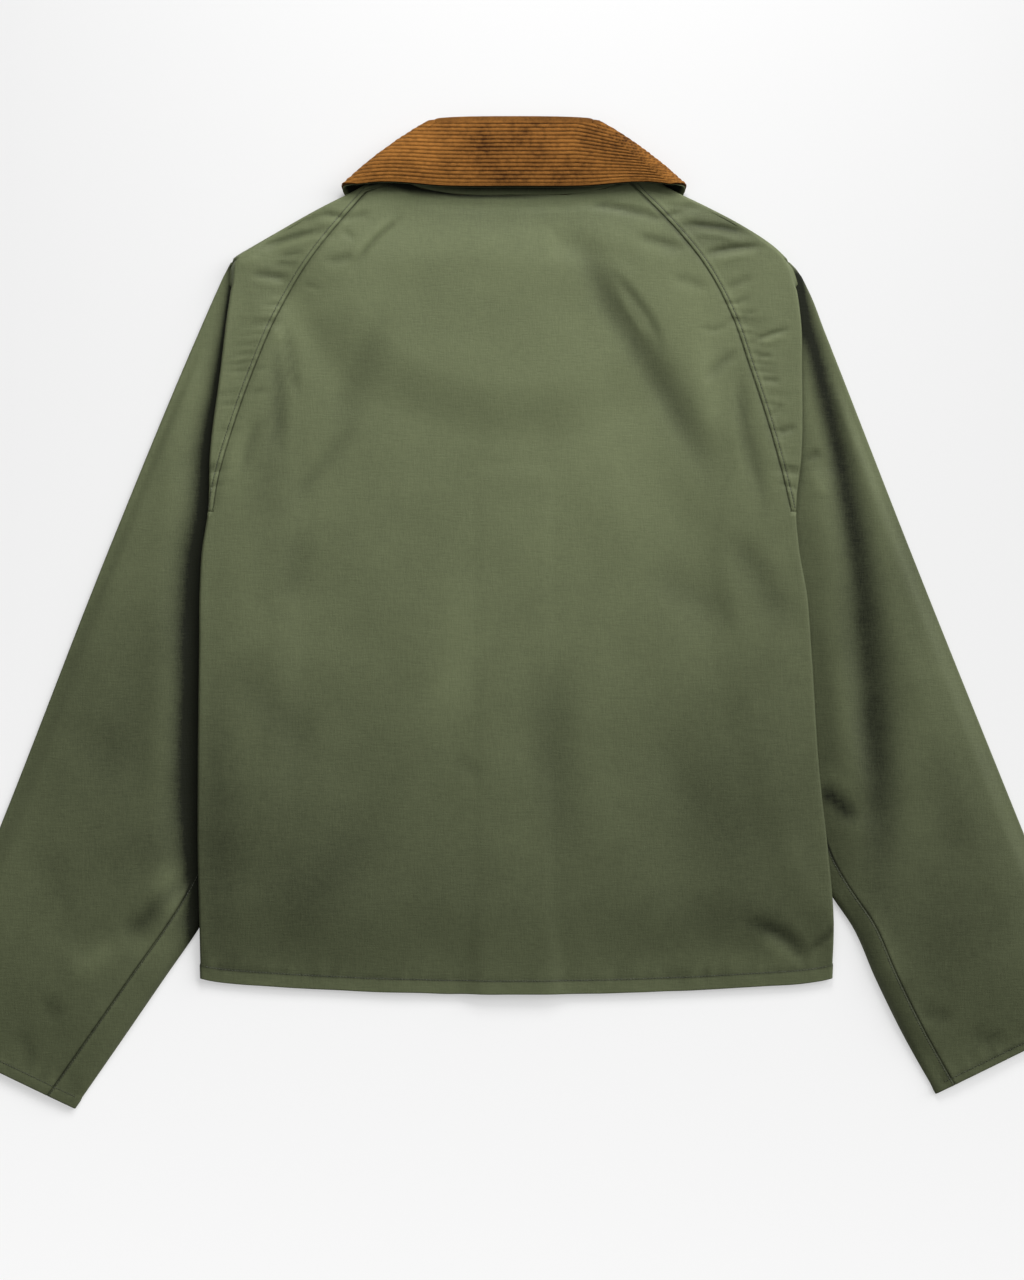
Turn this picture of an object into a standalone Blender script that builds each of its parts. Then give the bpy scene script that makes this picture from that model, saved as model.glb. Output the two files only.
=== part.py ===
"""Waxed jacket with a corduroy collar, laid face down: the back is on top, the sleeves are
brought down beside the body, and each sleeve passes under the body's edge in a pleat.

Metres, +Z up, +Y towards the collar, +X to the right as seen from above. Each piece of cloth is
a wall round its middle surface. Seen from above, the lowest cloth is layer 0, and what lies on
it is layer 1, 2 and so on.

Most functions work on one side at a time, in out and up: out is the distance from the centre
line towards that side's sleeve, and up is the height above the hem's lowest point.
"""

import math

import bmesh
import bpy
import numpy as np
from mathutils import Vector

# Driving dimensions
CLOTH = 0.0015  # waxed cotton with its lining
LAYER_GAP = 0.0004  # between two layers that lie on each other
SEAM_GAP = 0.0003  # between two pieces at their seam
ARMPIT = 0.390  # up: where the raglan seams meet the body's edge
SHOULDER_TIP = 0.594  # up: where the sleeve's pleat starts
FRONT_LAP = 0.044  # how far the left front lies over the right
HEM_BAND = 0.012  # the turned-up hems
HEM_RAISE = 0.0005
BODY_PUFF = 0.0034  # the most room between front and back
SLEEVE_PUFF = 0.0034  # the most extra room in a sleeve
ORIGIN_UP = 0.3075  # the box's centre, above the hem
ORIGIN_RIGHT = -0.007  # and from the centre line

PITCH = CLOTH + LAYER_GAP
SIDES = {"left": -1, "right": 1}

# The body's edge and, above the armpit, the fold where the sleeve turns under.
BODY_EDGE = {
    "up": (0.013, 0.057, 0.118, 0.177, 0.280, 0.324, 0.356, 0.390, 0.437, 0.502, 0.543, 0.580, 0.594),
    "left": (0.2532, 0.2540, 0.2554, 0.2553, 0.2542, 0.2538, 0.2522, 0.2471, 0.2455, 0.2373, 0.2324, 0.2275, 0.2268),
    "right": (0.2570, 0.2582, 0.2534, 0.2469, 0.2400, 0.2365, 0.2308, 0.2278, 0.2322, 0.2326, 0.2318, 0.2255, 0.2205),
}
# The raglan seam on the back, from the armpit to the neck.
BACK_RAGLAN = {
    "up": (0.390, 0.410, 0.461, 0.507, 0.546, 0.590, 0.623, 0.654, 0.668),
    "left": (0.2430, 0.2400, 0.2257, 0.2090, 0.1923, 0.1666, 0.1408, 0.1131, 0.0985),
    "right": (0.2237, 0.2190, 0.2050, 0.1900, 0.1765, 0.1525, 0.1257, 0.0957, 0.0835),
}
# The raglan seam on the front, which lies underneath.
FRONT_RAGLAN = {
    "up": (0.390, 0.450, 0.520, 0.594, 0.640, 0.668),
    "left": (0.1930, 0.1800, 0.1580, 0.1250, 0.0980, 0.0810),
    "right": (0.1760, 0.1700, 0.1520, 0.1200, 0.0970, 0.0810),
}
# The inner fold: the pleat's above the armpit, and below it the sleeve's edge, under the body and then clear of it.
INNER_FOLD = {
    "up": (-0.092, -0.030, 0.013, 0.0565, 0.100, 0.160, 0.240, 0.320, 0.390, 0.437, 0.502, 0.543, 0.568, 0.594),
    "left": (0.3560, 0.3130, 0.2835, 0.2536, 0.2300, 0.2160, 0.2100, 0.2070, 0.2055, 0.2105, 0.2150, 0.2195, 0.2246, 0.2268),
    "right": (0.3490, 0.3140, 0.2930, 0.2740, 0.2560, 0.2280, 0.2060, 0.1930, 0.1885, 0.1980, 0.2110, 0.2190, 0.2240, 0.2205),
}
# The shoulder and the sleeve's outer edge, down to the cuff.
OUTER_EDGE = {
    "up": (-0.031, 0.133, 0.360, 0.536, 0.569, 0.585, 0.594, 0.604, 0.620, 0.635, 0.650, 0.668),
    "left": (0.4840, 0.4165, 0.3275, 0.2545, 0.2400, 0.2325, 0.2268, 0.2110, 0.1835, 0.1560, 0.1265, 0.0960),
    "right": (0.4770, 0.4110, 0.3200, 0.2512, 0.2381, 0.2292, 0.2205, 0.2100, 0.1860, 0.1570, 0.1265, 0.0960),
}
# The cuff's corners: (out, up).
CUFF = {
    "left": {"outer": (0.4840, -0.0310), "inner": (0.3560, -0.0920)},
    "right": {"outer": (0.4770, -0.0170), "inner": (0.3490, -0.0800)},
}
# The largest folds, as soft troughs: which cloth, its two ends (right, up), its width and its depth.
FOLDS = (
    {"cloth": "top", "from": (-0.085, 0.640), "to": (-0.150, 0.560), "width": 0.020, "depth": 0.0012},
    {"cloth": "top", "from": (-0.185, 0.575), "to": (-0.130, 0.470), "width": 0.030, "depth": 0.0012},
    {"cloth": "top", "from": (-0.190, 0.470), "to": (-0.200, 0.300), "width": 0.034, "depth": 0.0011},
    {"cloth": "top", "from": (0.020, 0.610), "to": (0.100, 0.590), "width": 0.022, "depth": 0.0012},
    {"cloth": "top", "from": (0.060, 0.560), "to": (0.170, 0.300), "width": 0.060, "depth": 0.0020},
    {"cloth": "top", "from": (0.175, 0.440), "to": (0.215, 0.250), "width": 0.040, "depth": 0.0012},
    {"cloth": "top", "from": (-0.150, 0.330), "to": (-0.120, 0.080), "width": 0.070, "depth": 0.0016},
    {"cloth": "top", "from": (0.120, 0.220), "to": (0.150, 0.050), "width": 0.060, "depth": 0.0016},
    {"cloth": "right sleeve", "from": (0.236, 0.560), "to": (0.292, 0.160), "width": 0.026, "depth": 0.0028},
    {"cloth": "right sleeve", "from": (0.244, 0.440), "to": (0.262, 0.428), "width": 0.018, "depth": 0.0010},
    {"cloth": "right sleeve", "from": (0.262, 0.175), "to": (0.292, 0.140), "width": 0.020, "depth": 0.0014},
    {"cloth": "left sleeve", "from": (-0.285, 0.420), "to": (-0.300, 0.140), "width": 0.050, "depth": 0.0012},
    {"cloth": "left sleeve", "from": (-0.300, 0.060), "to": (-0.350, 0.030), "width": 0.040, "depth": 0.0014},
)
BODY_ROWS = (0.045, 0.100, 0.170, 0.240, 0.310, 0.360, ARMPIT)
RAGLAN_ROWS = (ARMPIT, 0.420, 0.460, 0.500, 0.540, 0.568, 0.580, SHOULDER_TIP, 0.610, 0.630, 0.648)
PLEAT_TOP = 0.568  # up: the last row where the pleat lies flat
NECK_ROW = 0.668  # up: the neck's row, if it were level

# Collar: corduroy on top, waxed cotton underneath, folded along its roll.
CORDUROY = 0.0014
UNDER_COLLAR = 0.0010
COLLAR_GAP = 0.0007
ROLL_RADIUS = 0.0008  # of the under collar's middle surface
WALES = 16  # ribs across the leaf, 3.5 mm each
WALE_HEIGHT = 0.0005
COLLAR_REACH = ROLL_RADIUS + UNDER_COLLAR / 2 + COLLAR_GAP + CORDUROY / 2
COLLAR_FRONT_HEIGHT = COLLAR_REACH + CORDUROY / 2 + WALE_HEIGHT
COLLAR_BACK_HEIGHT = 0.0124
COLLAR_RISE = 0.0049  # how far the front's cloth is lifted by the collar under it
# Stations round half the neck: the neck seam, the roll and the leaf's edge as (out, up), and how
# far the collar has turned over the shoulder, from 0 on the back to 1 on the front.
COLLAR_STATIONS = (
    {"seam": (0.0000, 0.6455), "roll": (0.0000, 0.7050), "edge": (0.0000, 0.6515), "turn": 0.00},
    {"seam": (0.0420, 0.6460), "roll": (0.0370, 0.7047), "edge": (0.0550, 0.6518), "turn": 0.00},
    {"seam": (0.0740, 0.6510), "roll": (0.0600, 0.7030), "edge": (0.1000, 0.6550), "turn": 0.00},
    {"seam": (0.0900, 0.6575), "roll": (0.0670, 0.7010), "edge": (0.1260, 0.6530), "turn": 0.00},
    {"seam": (0.0962, 0.6603), "roll": (0.0685, 0.7003), "edge": (0.1305, 0.6498), "turn": 0.14},
    {"seam": (0.0986, 0.6615), "roll": (0.0692, 0.6997), "edge": (0.1338, 0.6475), "turn": 0.32},
    {"seam": (0.0990, 0.6618), "roll": (0.0695, 0.6990), "edge": (0.1345, 0.6460), "turn": 0.50},
    {"seam": (0.0989, 0.6616), "roll": (0.0695, 0.6984), "edge": (0.1343, 0.6446), "turn": 0.68},
    {"seam": (0.0974, 0.6602), "roll": (0.0690, 0.6974), "edge": (0.1335, 0.6425), "turn": 0.86},
    {"seam": (0.0920, 0.6550), "roll": (0.0680, 0.6930), "edge": (0.1310, 0.6330), "turn": 1.00},
    {"seam": (0.0800, 0.6370), "roll": (0.0620, 0.6750), "edge": (0.1240, 0.6000), "turn": 1.00},
    {"seam": (0.0560, 0.5990), "roll": (0.0450, 0.6380), "edge": (0.1040, 0.5560), "turn": 1.00},
    {"seam": (0.0320, 0.5720), "roll": (0.0260, 0.6080), "edge": (0.0770, 0.5240), "turn": 1.00},
    {"seam": (0.0035, 0.5605), "roll": (0.0040, 0.5900), "edge": (0.0500, 0.5060), "turn": 1.00},
)
# Where the raglan seams meet the neck, in stations.
NECK_MARKS = {"back": 3.0, "front": 10.0}
NECK_GAP = 0.0010  # from the collar's stand to the body's cloth, along the cloth

STUD_RADIUS = 0.006
STUD_THICKNESS = 0.0010
STUD_HEIGHTS = (0.037, 0.129, 0.221, 0.313, 0.405)
STUD_RISE = CLOTH + 2 * SEAM_GAP + STUD_THICKNESS
LAP_RISE = CLOTH + 0.0004
LAP_ROOM = 0.0008  # the least between the lap and the back

COLOURS = {
    "waxed_cotton": {"colour": (0.125, 0.135, 0.075), "roughness": 0.55, "metallic": 0.0},
    "corduroy": {"colour": (0.190, 0.080, 0.017), "roughness": 0.90, "metallic": 0.0},
    "stud_metal": {"colour": (0.280, 0.200, 0.100), "roughness": 0.35, "metallic": 1.0},
}


# Numbers and heights


def smooth(share):
    """0 below 0, 1 above 1, and an easy curve between."""
    t = min(1.0, max(0.0, share))
    return t * t * (3 - 2 * t)


def along(table, column, up):
    """The table's column at a height, on one smooth curve through its rows."""
    ups, values = table["up"], table[column]
    slopes = np.gradient(values, ups)
    if up <= ups[0]:
        return values[0] + slopes[0] * (up - ups[0])
    if up >= ups[-1]:
        return values[-1] + slopes[-1] * (up - ups[-1])
    k = int(np.searchsorted(ups, up)) - 1
    width = ups[k + 1] - ups[k]
    t = (up - ups[k]) / width
    start, end = values[k], values[k + 1]
    return (
        (2 * t**3 - 3 * t**2 + 1) * start
        + (t**3 - 2 * t**2 + t) * width * slopes[k]
        + (3 * t**2 - 2 * t**3) * end
        + (t**3 - t**2) * width * slopes[k + 1]
    )


def layer(number):
    """The height of a layer's middle surface."""
    return CLOTH / 2 + number * PITCH


def spread(start, end, count):
    """Equal steps from start to end, both included."""
    return [start + (end - start) * k / (count - 1) for k in range(count)]


def troughs(cloth, right, up):
    """How far the largest folds sink this cloth here."""
    sunk = 0.0
    for fold in FOLDS:
        if fold["cloth"] != cloth:
            continue
        (x0, y0), (x1, y1) = fold["from"], fold["to"]
        length = math.hypot(x1 - x0, y1 - y0)
        share = ((right - x0) * (x1 - x0) + (up - y0) * (y1 - y0)) / length**2
        off = abs((right - x0) * (y1 - y0) - (up - y0) * (x1 - x0)) / length
        ends = smooth(share / 0.3 + 0.5) * smooth((1 - share) / 0.3 + 0.5)
        sunk += fold["depth"] * ends * math.exp(-((2 * off / fold["width"]) ** 2))
    return sunk


def over_sleeve(side, out, up):
    """1 above the hidden part of the sleeve, falling to 0 towards the centre."""
    inward = along(INNER_FOLD, side, min(up, SHOULDER_TIP)) - out
    return (1 - smooth((inward - 0.012) / 0.030)) * (1 - smooth((up - SHOULDER_TIP) / 0.05))


def over_collar(out, up):
    """1 above the collar's front, which lies on the floor, falling to 0 away from the neck."""
    away = math.hypot(out / 0.150, (up - 0.640) / 0.145)
    return 1 - smooth((away - 1.0) / 0.35)


def lap_rise(right, up):
    """How far the right front lies above the left one: most beside the studs, and nothing past the lap."""
    studs = 1 - smooth((up - STUD_HEIGHTS[-1] - 0.010) / 0.030)
    rise = LAP_RISE + (STUD_RISE - LAP_RISE) * studs
    return rise * (1 - smooth((abs(right) - FRONT_LAP / 2 - 0.002) / 0.022))


def front_height(side, out, up):
    """The middle surface of the front, on the floor and above the sleeve and the collar."""
    near_armpit = 1 - smooth((up - ARMPIT) / 0.030)
    rise = 2 * PITCH * over_sleeve(side, out, up) * near_armpit + COLLAR_RISE * over_collar(out, up)
    if side == "right":
        rise += lap_rise(out, up)
    return layer(0) + rise


def sleeve_bottom_height(side, out, up):
    """The sleeve's lowest cloth above the armpit. It rises to meet the front beside the pleat."""
    past_fold = along(INNER_FOLD, side, min(up, SHOULDER_TIP)) - 0.002 - out
    near_armpit = 1 - smooth((up - ARMPIT) / 0.030)
    rise = 2 * PITCH * over_sleeve(side, out, up) * near_armpit * smooth(past_fold / 0.008)
    return layer(0) + rise + COLLAR_RISE * over_collar(out, up)


def top_height(side, out, up):
    """The middle surface of the cloth on top: the back, and the sleeves' raglan parts."""
    right = SIDES[side] * out
    sleeve, collar = over_sleeve(side, out, up), over_collar(out, up)
    least = max(LAP_ROOM, lap_rise(right, up) + LAP_ROOM)
    edge_room = 0.0018 if side == "left" else 0.0010
    room = BODY_PUFF - (BODY_PUFF - edge_room) * sleeve - 0.0005 * collar
    room *= 0.25 + 0.75 * smooth(up / 0.090)
    past_tip = smooth((up - SHOULDER_TIP) / 0.030)
    room -= (room - 0.0020) * past_tip * (1 - smooth((along(OUTER_EDGE, side, up) - out) / 0.030))
    cover = layer(0) + 2 * PITCH * sleeve + COLLAR_RISE * collar
    return cover + CLOTH + max(least, room - troughs("top", right, up))


def sleeve_top_height(side, out, up, shown):
    """The sleeve's upper cloth: flat under the body, puffed where it shows, flat again at the cuff."""
    from_outer = along(OUTER_EDGE, side, up) - out
    visible = smooth(shown / (0.040 if side == "left" else 0.024))
    puff = SLEEVE_PUFF * visible * smooth(from_outer / 0.045)
    cuff = CUFF[side]
    (x0, y0), (x1, y1) = cuff["inner"], cuff["outer"]
    above_cuff = abs((out - x0) * (y1 - y0) - (up - y0) * (x1 - x0)) / math.hypot(x1 - x0, y1 - y0)
    puff *= 0.25 + 0.75 * smooth(above_cuff / 0.080)
    sunk = troughs(f"{side} sleeve", SIDES[side] * out, up) * smooth(shown / 0.010)
    return layer(1) + max(0.0, puff - sunk)


# Rows of points


def turned(centre_out, low, high, steps, outward=1, rising=True):
    """(out, height) round a half circle from one layer to the next, without its two ends."""
    radius = (high - low) / 2
    angles = [-math.pi / 2 + math.pi * k / steps for k in range(1, steps)]
    points = [(centre_out + outward * radius * math.cos(a), low + radius + radius * math.sin(a)) for a in angles]
    return points if rising else points[::-1]


def place(side, out, up, height):
    """The point in the jacket's own frame."""
    return Vector((SIDES[side] * out - ORIGIN_RIGHT, up - ORIGIN_UP, height))


def add_rows(bm, rows):
    """Faces between rows of the same length."""
    made = [[bm.verts.new(point) for point in row] for row in rows]
    for low, high in zip(made, made[1:]):
        for k in range(len(low) - 1):
            bm.faces.new((low[k], low[k + 1], high[k + 1], high[k]))


def wall(name, grids, thickness, material, raised=None, flip=False):
    """One closed solid round the middle surface that the grids make. raised(point) adds to its outer face."""
    middle = bmesh.new()
    for rows in grids:
        add_rows(middle, rows)
    bmesh.ops.remove_doubles(middle, verts=middle.verts, dist=1e-6)
    if flip:
        bmesh.ops.reverse_faces(middle, faces=middle.faces)
    middle.normal_update()
    middle.verts.index_update()
    solid = bmesh.new()
    outer = [solid.verts.new(v.co + v.normal * (thickness / 2 + (raised(v.co) if raised else 0))) for v in middle.verts]
    inner = [solid.verts.new(v.co - v.normal * thickness / 2) for v in middle.verts]
    for face in middle.faces:
        corners = [v.index for v in face.verts]
        solid.faces.new([outer[k] for k in corners])
        solid.faces.new([inner[k] for k in reversed(corners)])
        for loop in face.loops:
            if loop.edge.is_boundary:
                a, b = loop.vert.index, loop.link_loop_next.vert.index
                solid.faces.new((outer[b], outer[a], inner[a], inner[b]))
    middle.free()
    return add_object(name, solid, material)


def add_object(name, solid, material):
    mesh = bpy.data.meshes.new(name)
    solid.to_mesh(mesh)
    solid.free()
    mesh.materials.append(bpy.data.materials[material])
    mesh.shade_smooth()
    mesh.set_sharp_from_angle(angle=math.radians(40))
    made = bpy.data.objects.new(name, mesh)
    bpy.context.scene.collection.objects.link(made)
    return made


# The neck


def station(side, number):
    """The collar's station at a number that may lie between two of them."""
    low = min(int(number), len(COLLAR_STATIONS) - 2)
    share = number - low
    first, second = COLLAR_STATIONS[low], COLLAR_STATIONS[low + 1]
    made = {key: Vector(first[key]).lerp(Vector(second[key]), share) for key in ("seam", "roll", "edge")}
    made["turn"] = first["turn"] + (second["turn"] - first["turn"]) * share
    made["side"] = side
    return made


def collar_frame(at_station):
    """The roll, the neck seam and the leaf's edge as points on the collar's fold, and the way its outer face looks."""
    side, turn = at_station["side"], at_station["turn"]
    roll, seam, edge = at_station["roll"], at_station["seam"], at_station["edge"]
    across = (edge - roll).normalized()
    outward = Vector((-across.y, across.x))
    angle = math.pi * turn
    middle = (COLLAR_BACK_HEIGHT + COLLAR_FRONT_HEIGHT) / 2
    ring = (COLLAR_BACK_HEIGHT - COLLAR_FRONT_HEIGHT) / 2
    flat = outward * math.sin(angle)
    facing = Vector((SIDES[side] * flat.x, flat.y, math.cos(angle)))
    height = middle + ring * math.cos(angle)

    def at(point, lift):
        moved = point + flat * ring
        return place(side, moved.x, moved.y, height + lift)

    back = 1 - turn
    return at(roll, 0), at(seam, -0.0007 * back), at(edge, -0.0004 * back), facing


def neck_point(side, number):
    """Where the body's cloth ends below the collar's stand."""
    roll, seam, _, facing = collar_frame(station(side, number))
    return seam - facing * (COLLAR_REACH + ROLL_RADIUS) / 2 + (seam - roll).normalized() * NECK_GAP


# The body


def hem_up(right, row_up, row_end_up):
    """A body row's height: the hem dips 13 mm towards the centre, and the rows above it less and less."""
    dip = 0.013 * (1 - smooth(row_up / 0.20))
    return row_end_up - dip * (1 - min(1.0, abs(right) / 0.256) ** 2)


def body_row_ups():
    """The heights of the body's rows at its edges, from the hem to the armpit."""
    hem = 0.013
    return (hem, hem + HEM_BAND, hem + HEM_BAND + 0.0008) + BODY_ROWS


def body_fold(side, up):
    """The fold's start on top, and the radius that it turns with."""
    edge = along(BODY_EDGE, side, up) - CLOTH / 2
    radius = (top_height(side, edge, up) - front_height(side, edge, up)) / 2
    return edge - radius, radius


def raglan_foot(side, up):
    """Where the back's flat part ends below the armpit: 3 mm inside the start of the fold."""
    return body_fold(side, up)[0] - 0.003


def columns(side, up):
    """Where the body's cloth has its points below the armpit, from the centre out, so that its layers bend together."""
    foot = raglan_foot(side, up)
    inner = along(INNER_FOLD, side, up)
    slope = [min(inner - 0.042, foot - 0.018), min(inner - 0.027, foot - 0.012), min(inner - 0.012, foot - 0.006)]
    lap = [0.0, FRONT_LAP / 2, FRONT_LAP / 2 + 0.012, FRONT_LAP / 2 + 0.024]
    return lap + spread(lap[-1], slope[0], 4)[1:] + slope[1:] + spread(slope[-1], foot, 3)[1:]


def back_edge(side, up):
    """The back's points from its flat part round the body's edge, to the side seam underneath."""
    start, radius = body_fold(side, up)
    low = front_height(side, start, up)
    high = top_height(side, start, up)
    points = [(start, high)] + turned(start, low, high, 4, rising=False) + [(start, low), (start - 0.003, low)]
    return [place(side, out, up, height) for out, height in points]


def body_point(side, out, up, height):
    """A body point in a row whose ends are at this height."""
    row_up = hem_up(out, up - 0.013, up)
    return place(side, out, row_up, height(side, out, row_up))


def fan_rows(start, end, edges, corner_height):
    """Rows between a row of (out, up) pairs at the armpit and the neck's row. edges(row) is the
    first and last point of each row in between. corner_height(out, up) is the cloth's height."""
    rows = []
    for up in RAGLAN_ROWS[1:]:
        share = (up - ARMPIT) / (NECK_ROW - ARMPIT)
        row = [Vector(a).lerp(Vector(b), share) for a, b in zip(start, end)]
        first, last = edges(up)
        ends = (Vector(first) - row[0], Vector(last) - row[-1])
        count = len(row) - 1
        rows.append([
            point + ends[0] * max(0.0, 1 - 1.6 * k / count) + ends[1] * max(0.0, 1 - 1.6 * (count - k) / count)
            for k, point in enumerate(row)
        ])
    return [[corner_height(point.x, point.y) for point in row] for row in rows]


def flat(point):
    """(right, up) of a point in the jacket's frame."""
    return point.x + ORIGIN_RIGHT, point.y + ORIGIN_UP


def make_back():
    lower = []
    for up in body_row_ups():
        left = [body_point("left", out, up, top_height) for out in columns("left", up)[:0:-1]]
        right = [body_point("right", out, up, top_height) for out in columns("right", up)]
        lower.append(back_edge("left", up)[::-1] + left + right + back_edge("right", up))
    outs = [-out for out in columns("left", ARMPIT)[:0:-1]] + columns("right", ARMPIT)
    neck = []
    for right in outs:
        share = right / outs[0] if right < 0 else right / outs[-1]
        neck.append(neck_point("left" if right < 0 else "right", NECK_MARKS["back"] * share))

    def edges(up):
        return [(SIDES[side] * along(BACK_RAGLAN, side, up), up) for side in ("left", "right")]

    def corner(right, up):
        side = "left" if right < 0 else "right"
        return place(side, abs(right), up, top_height(side, abs(right), up))

    first = [body_point("left" if right < 0 else "right", abs(right), ARMPIT, top_height) for right in outs]
    between = fan_rows([(right, ARMPIT) for right in outs], [flat(point) for point in neck], edges, corner)
    wall("back", (lower, [first] + between + [neck]), CLOTH, "waxed_cotton", raised=hem_raise)


def hem_raise(point):
    """The turned-up hem stands proud of the cloth above it, on the back."""
    right, up = flat(point)
    above = up - hem_up(right, 0.0, 0.013)
    return HEM_RAISE if above < HEM_BAND + 0.0004 and point.z > layer(1) else 0.0


def front_seam_up(up):
    """The front raglan seam's height for a row that is at this height on the back."""
    return ARMPIT + (0.637 - ARMPIT) * (up - ARMPIT) / (NECK_ROW - ARMPIT)


def make_front(side):
    lap = [-out for out in columns(side, ARMPIT)[1:0:-1]]

    def height(_, out, up):
        return front_height(side, out, up)

    lower = []
    for up in body_row_ups():
        outs = columns(side, up)
        outs[-1] -= SEAM_GAP
        lower.append([body_point(side, out, up, height) for out in (lap + outs)[::-1]])
    seam = along(FRONT_RAGLAN, side, ARMPIT) - SEAM_GAP
    outs = [out for out in columns(side, ARMPIT) if out < seam - 0.010] + [seam]
    lower[-1] = [body_point(side, out, ARMPIT, height) for out in armpit_columns(side, lap, outs)]
    first = [body_point(side, out, ARMPIT, height) for out in (lap + outs)[::-1]]
    mark = NECK_MARKS["front"]
    last = len(COLLAR_STATIONS) - 1
    neck = [neck_point(side, number) for number in spread(last, 11, len(outs) - 2) + [(11 + mark) / 2, mark]]
    end = neck[0]
    neck = [place(side, out, flat(end)[1], height(side, out, flat(end)[1])) for out in lap] + neck
    if side == "right":
        for point in neck:
            point.z = max(point.z, height(side, *flat(point)))
    ends = [(SIDES[side] * flat(point)[0], flat(point)[1]) for point in neck[::-1]]

    def edges(up):
        share = (up - ARMPIT) / (NECK_ROW - ARMPIT)
        return (along(FRONT_RAGLAN, side, up) - SEAM_GAP, front_seam_up(up)), (lap[0], ARMPIT + (ends[-1][1] - ARMPIT) * share)

    def corner(out, up):
        return place(side, out, up, height(side, out, up))

    between = fan_rows([(out, ARMPIT) for out in (lap + outs)[::-1]], ends, edges, corner)
    return wall(f"front_{side}", (lower, [first] + between + [neck[::-1]]), CLOTH, "waxed_cotton", flip=side == "left")


def armpit_columns(side, lap, outs):
    """The front's top row below the armpit: its points meet those of the row above, and go on to the side seam."""
    body = columns(side, ARMPIT)
    body[-1] -= SEAM_GAP
    beyond = [out for out in body if out > outs[-1] + 0.0005]
    whole = lap + outs + beyond
    missing = len(lap + body) - len(whole)
    if missing > 0:
        whole += [beyond[0] + (beyond[1] - beyond[0]) * (k + 1) / (missing + 1) for k in range(missing)]
    return sorted(whole, reverse=True)


# The sleeves


def upper_columns(first, shown_from, last):
    """Where a sleeve's upper cloth has its points: at its fold, where it comes out from under the body, and on."""
    room = min(1.0, (last - shown_from) / 0.050)
    near = [shown_from + step * room for step in (0.0, 0.006, 0.013, 0.024)]
    return [first] + near + spread(near[-1], last, 4)[1:]


def raglan_row(side, up):
    """A sleeve's row above the armpit: back seam, fold, pleat, outer edge, and under it to the front seam."""
    offset = SEAM_GAP if up == ARMPIT else 0.0
    seam = (raglan_foot(side, up) if up == ARMPIT else along(BACK_RAGLAN, side, up)) + 1.5 * SEAM_GAP
    outer = along(OUTER_EDGE, side, up) - CLOTH / 2
    edge = along(BODY_EDGE, side, up) - CLOTH / 2
    inner = along(INNER_FOLD, side, up) + PITCH / 2
    last = outer - PITCH / 2
    points = []
    if up <= PLEAT_TOP:
        high = top_height(side, edge, up)
        start = edge - (high - layer(2)) / 2
        points += [(out, top_height(side, out, up), offset) for out in spread(seam, start, 4)]
        points += [(*p, offset) for p in turned(start, layer(2), high, 4, rising=False)]
        points += [(out, layer(2), offset) for out in (start, (start + inner) / 2, inner)]
        points += [(*p, offset) for p in turned(inner, layer(1), layer(2), 3, outward=-1, rising=False)]
        upper = upper_columns(inner, edge + CLOTH / 2, last)
        points += [(out, sleeve_top_height(side, out, up, out - edge - CLOTH / 2), 0.0) for out in upper]
        points += [(*p, 0.0) for p in turned(last, layer(0), layer(1), 3, rising=False)]
    elif up < SHOULDER_TIP:
        high = top_height(side, edge, up)
        start, foot = edge - 0.0022, min(edge + 0.0030, last - 0.0006)
        points += [(out, top_height(side, out, up), 0.0) for out in spread(seam, start, 4)]
        for k in range(1, 9):
            t = k / 9
            points.append((start + (foot - start) * t, high + (layer(1) - high) * smooth(t), 0.0))
        points += [(out, layer(1), 0.0) for out in spread(foot, last, 8)]
        points += [(*p, 0.0) for p in turned(last, layer(0), layer(1), 3, rising=False)]
    else:
        lean = (along(OUTER_EDGE, side, up + 0.004) - along(OUTER_EDGE, side, up - 0.002)) / 0.006
        for _ in range(3):
            high, low = top_height(side, last, up), sleeve_bottom_height(side, last, up)
            radius, wide = (high - low) / 2, (high - low) / 2 * min(2.3, math.hypot(1, lean))
            last = outer - wide
        points += [(out, top_height(side, out, up), 0.0) for out in spread(seam, last, 4)]
        for out, height in turned(0.0, low, high, 3 + 3 + 2 + 8 + 2 + 1, rising=False):
            points.append((last + out / radius * wide, height, 0.0))
        inner = last - 0.002
    row = [place(side, out, up + extra, height) for out, height, extra in points]
    seam_out, seam_up = along(FRONT_RAGLAN, side, up) + SEAM_GAP, front_seam_up(up)
    under = spread(last, inner, 5) + [inner - 0.003, inner - 0.007, inner - 0.011, seam_out]
    if under[-2] < seam_out + 0.001:
        under[-4:-1] = [inner + (seam_out - inner) * t for t in (0.25, 0.5, 0.75)]
    for k, out in enumerate(under):
        share = smooth((inner - out) / (inner - seam_out)) if out < inner else 0.0
        row_up = up + (seam_up - up) * share + (offset if k > 4 else 0.0)
        row.append(place(side, out, row_up, sleeve_bottom_height(side, out, row_up)))
    return row


def neck_row(side):
    """The sleeve's end under the collar, from the back raglan seam over the shoulder to the front one."""
    turns = [at_station["turn"] for at_station in COLLAR_STATIONS[3:10]]
    over = [3 + float(np.interp(k / 38, turns, range(7))) for k in range(1, 38)]
    numbers = spread(NECK_MARKS["back"] + 0.04, over[0], 4) + over[1:-1:2] + spread(over[-1], NECK_MARKS["front"] - 0.03, 9)
    return [neck_point(side, number) for number in numbers]


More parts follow.
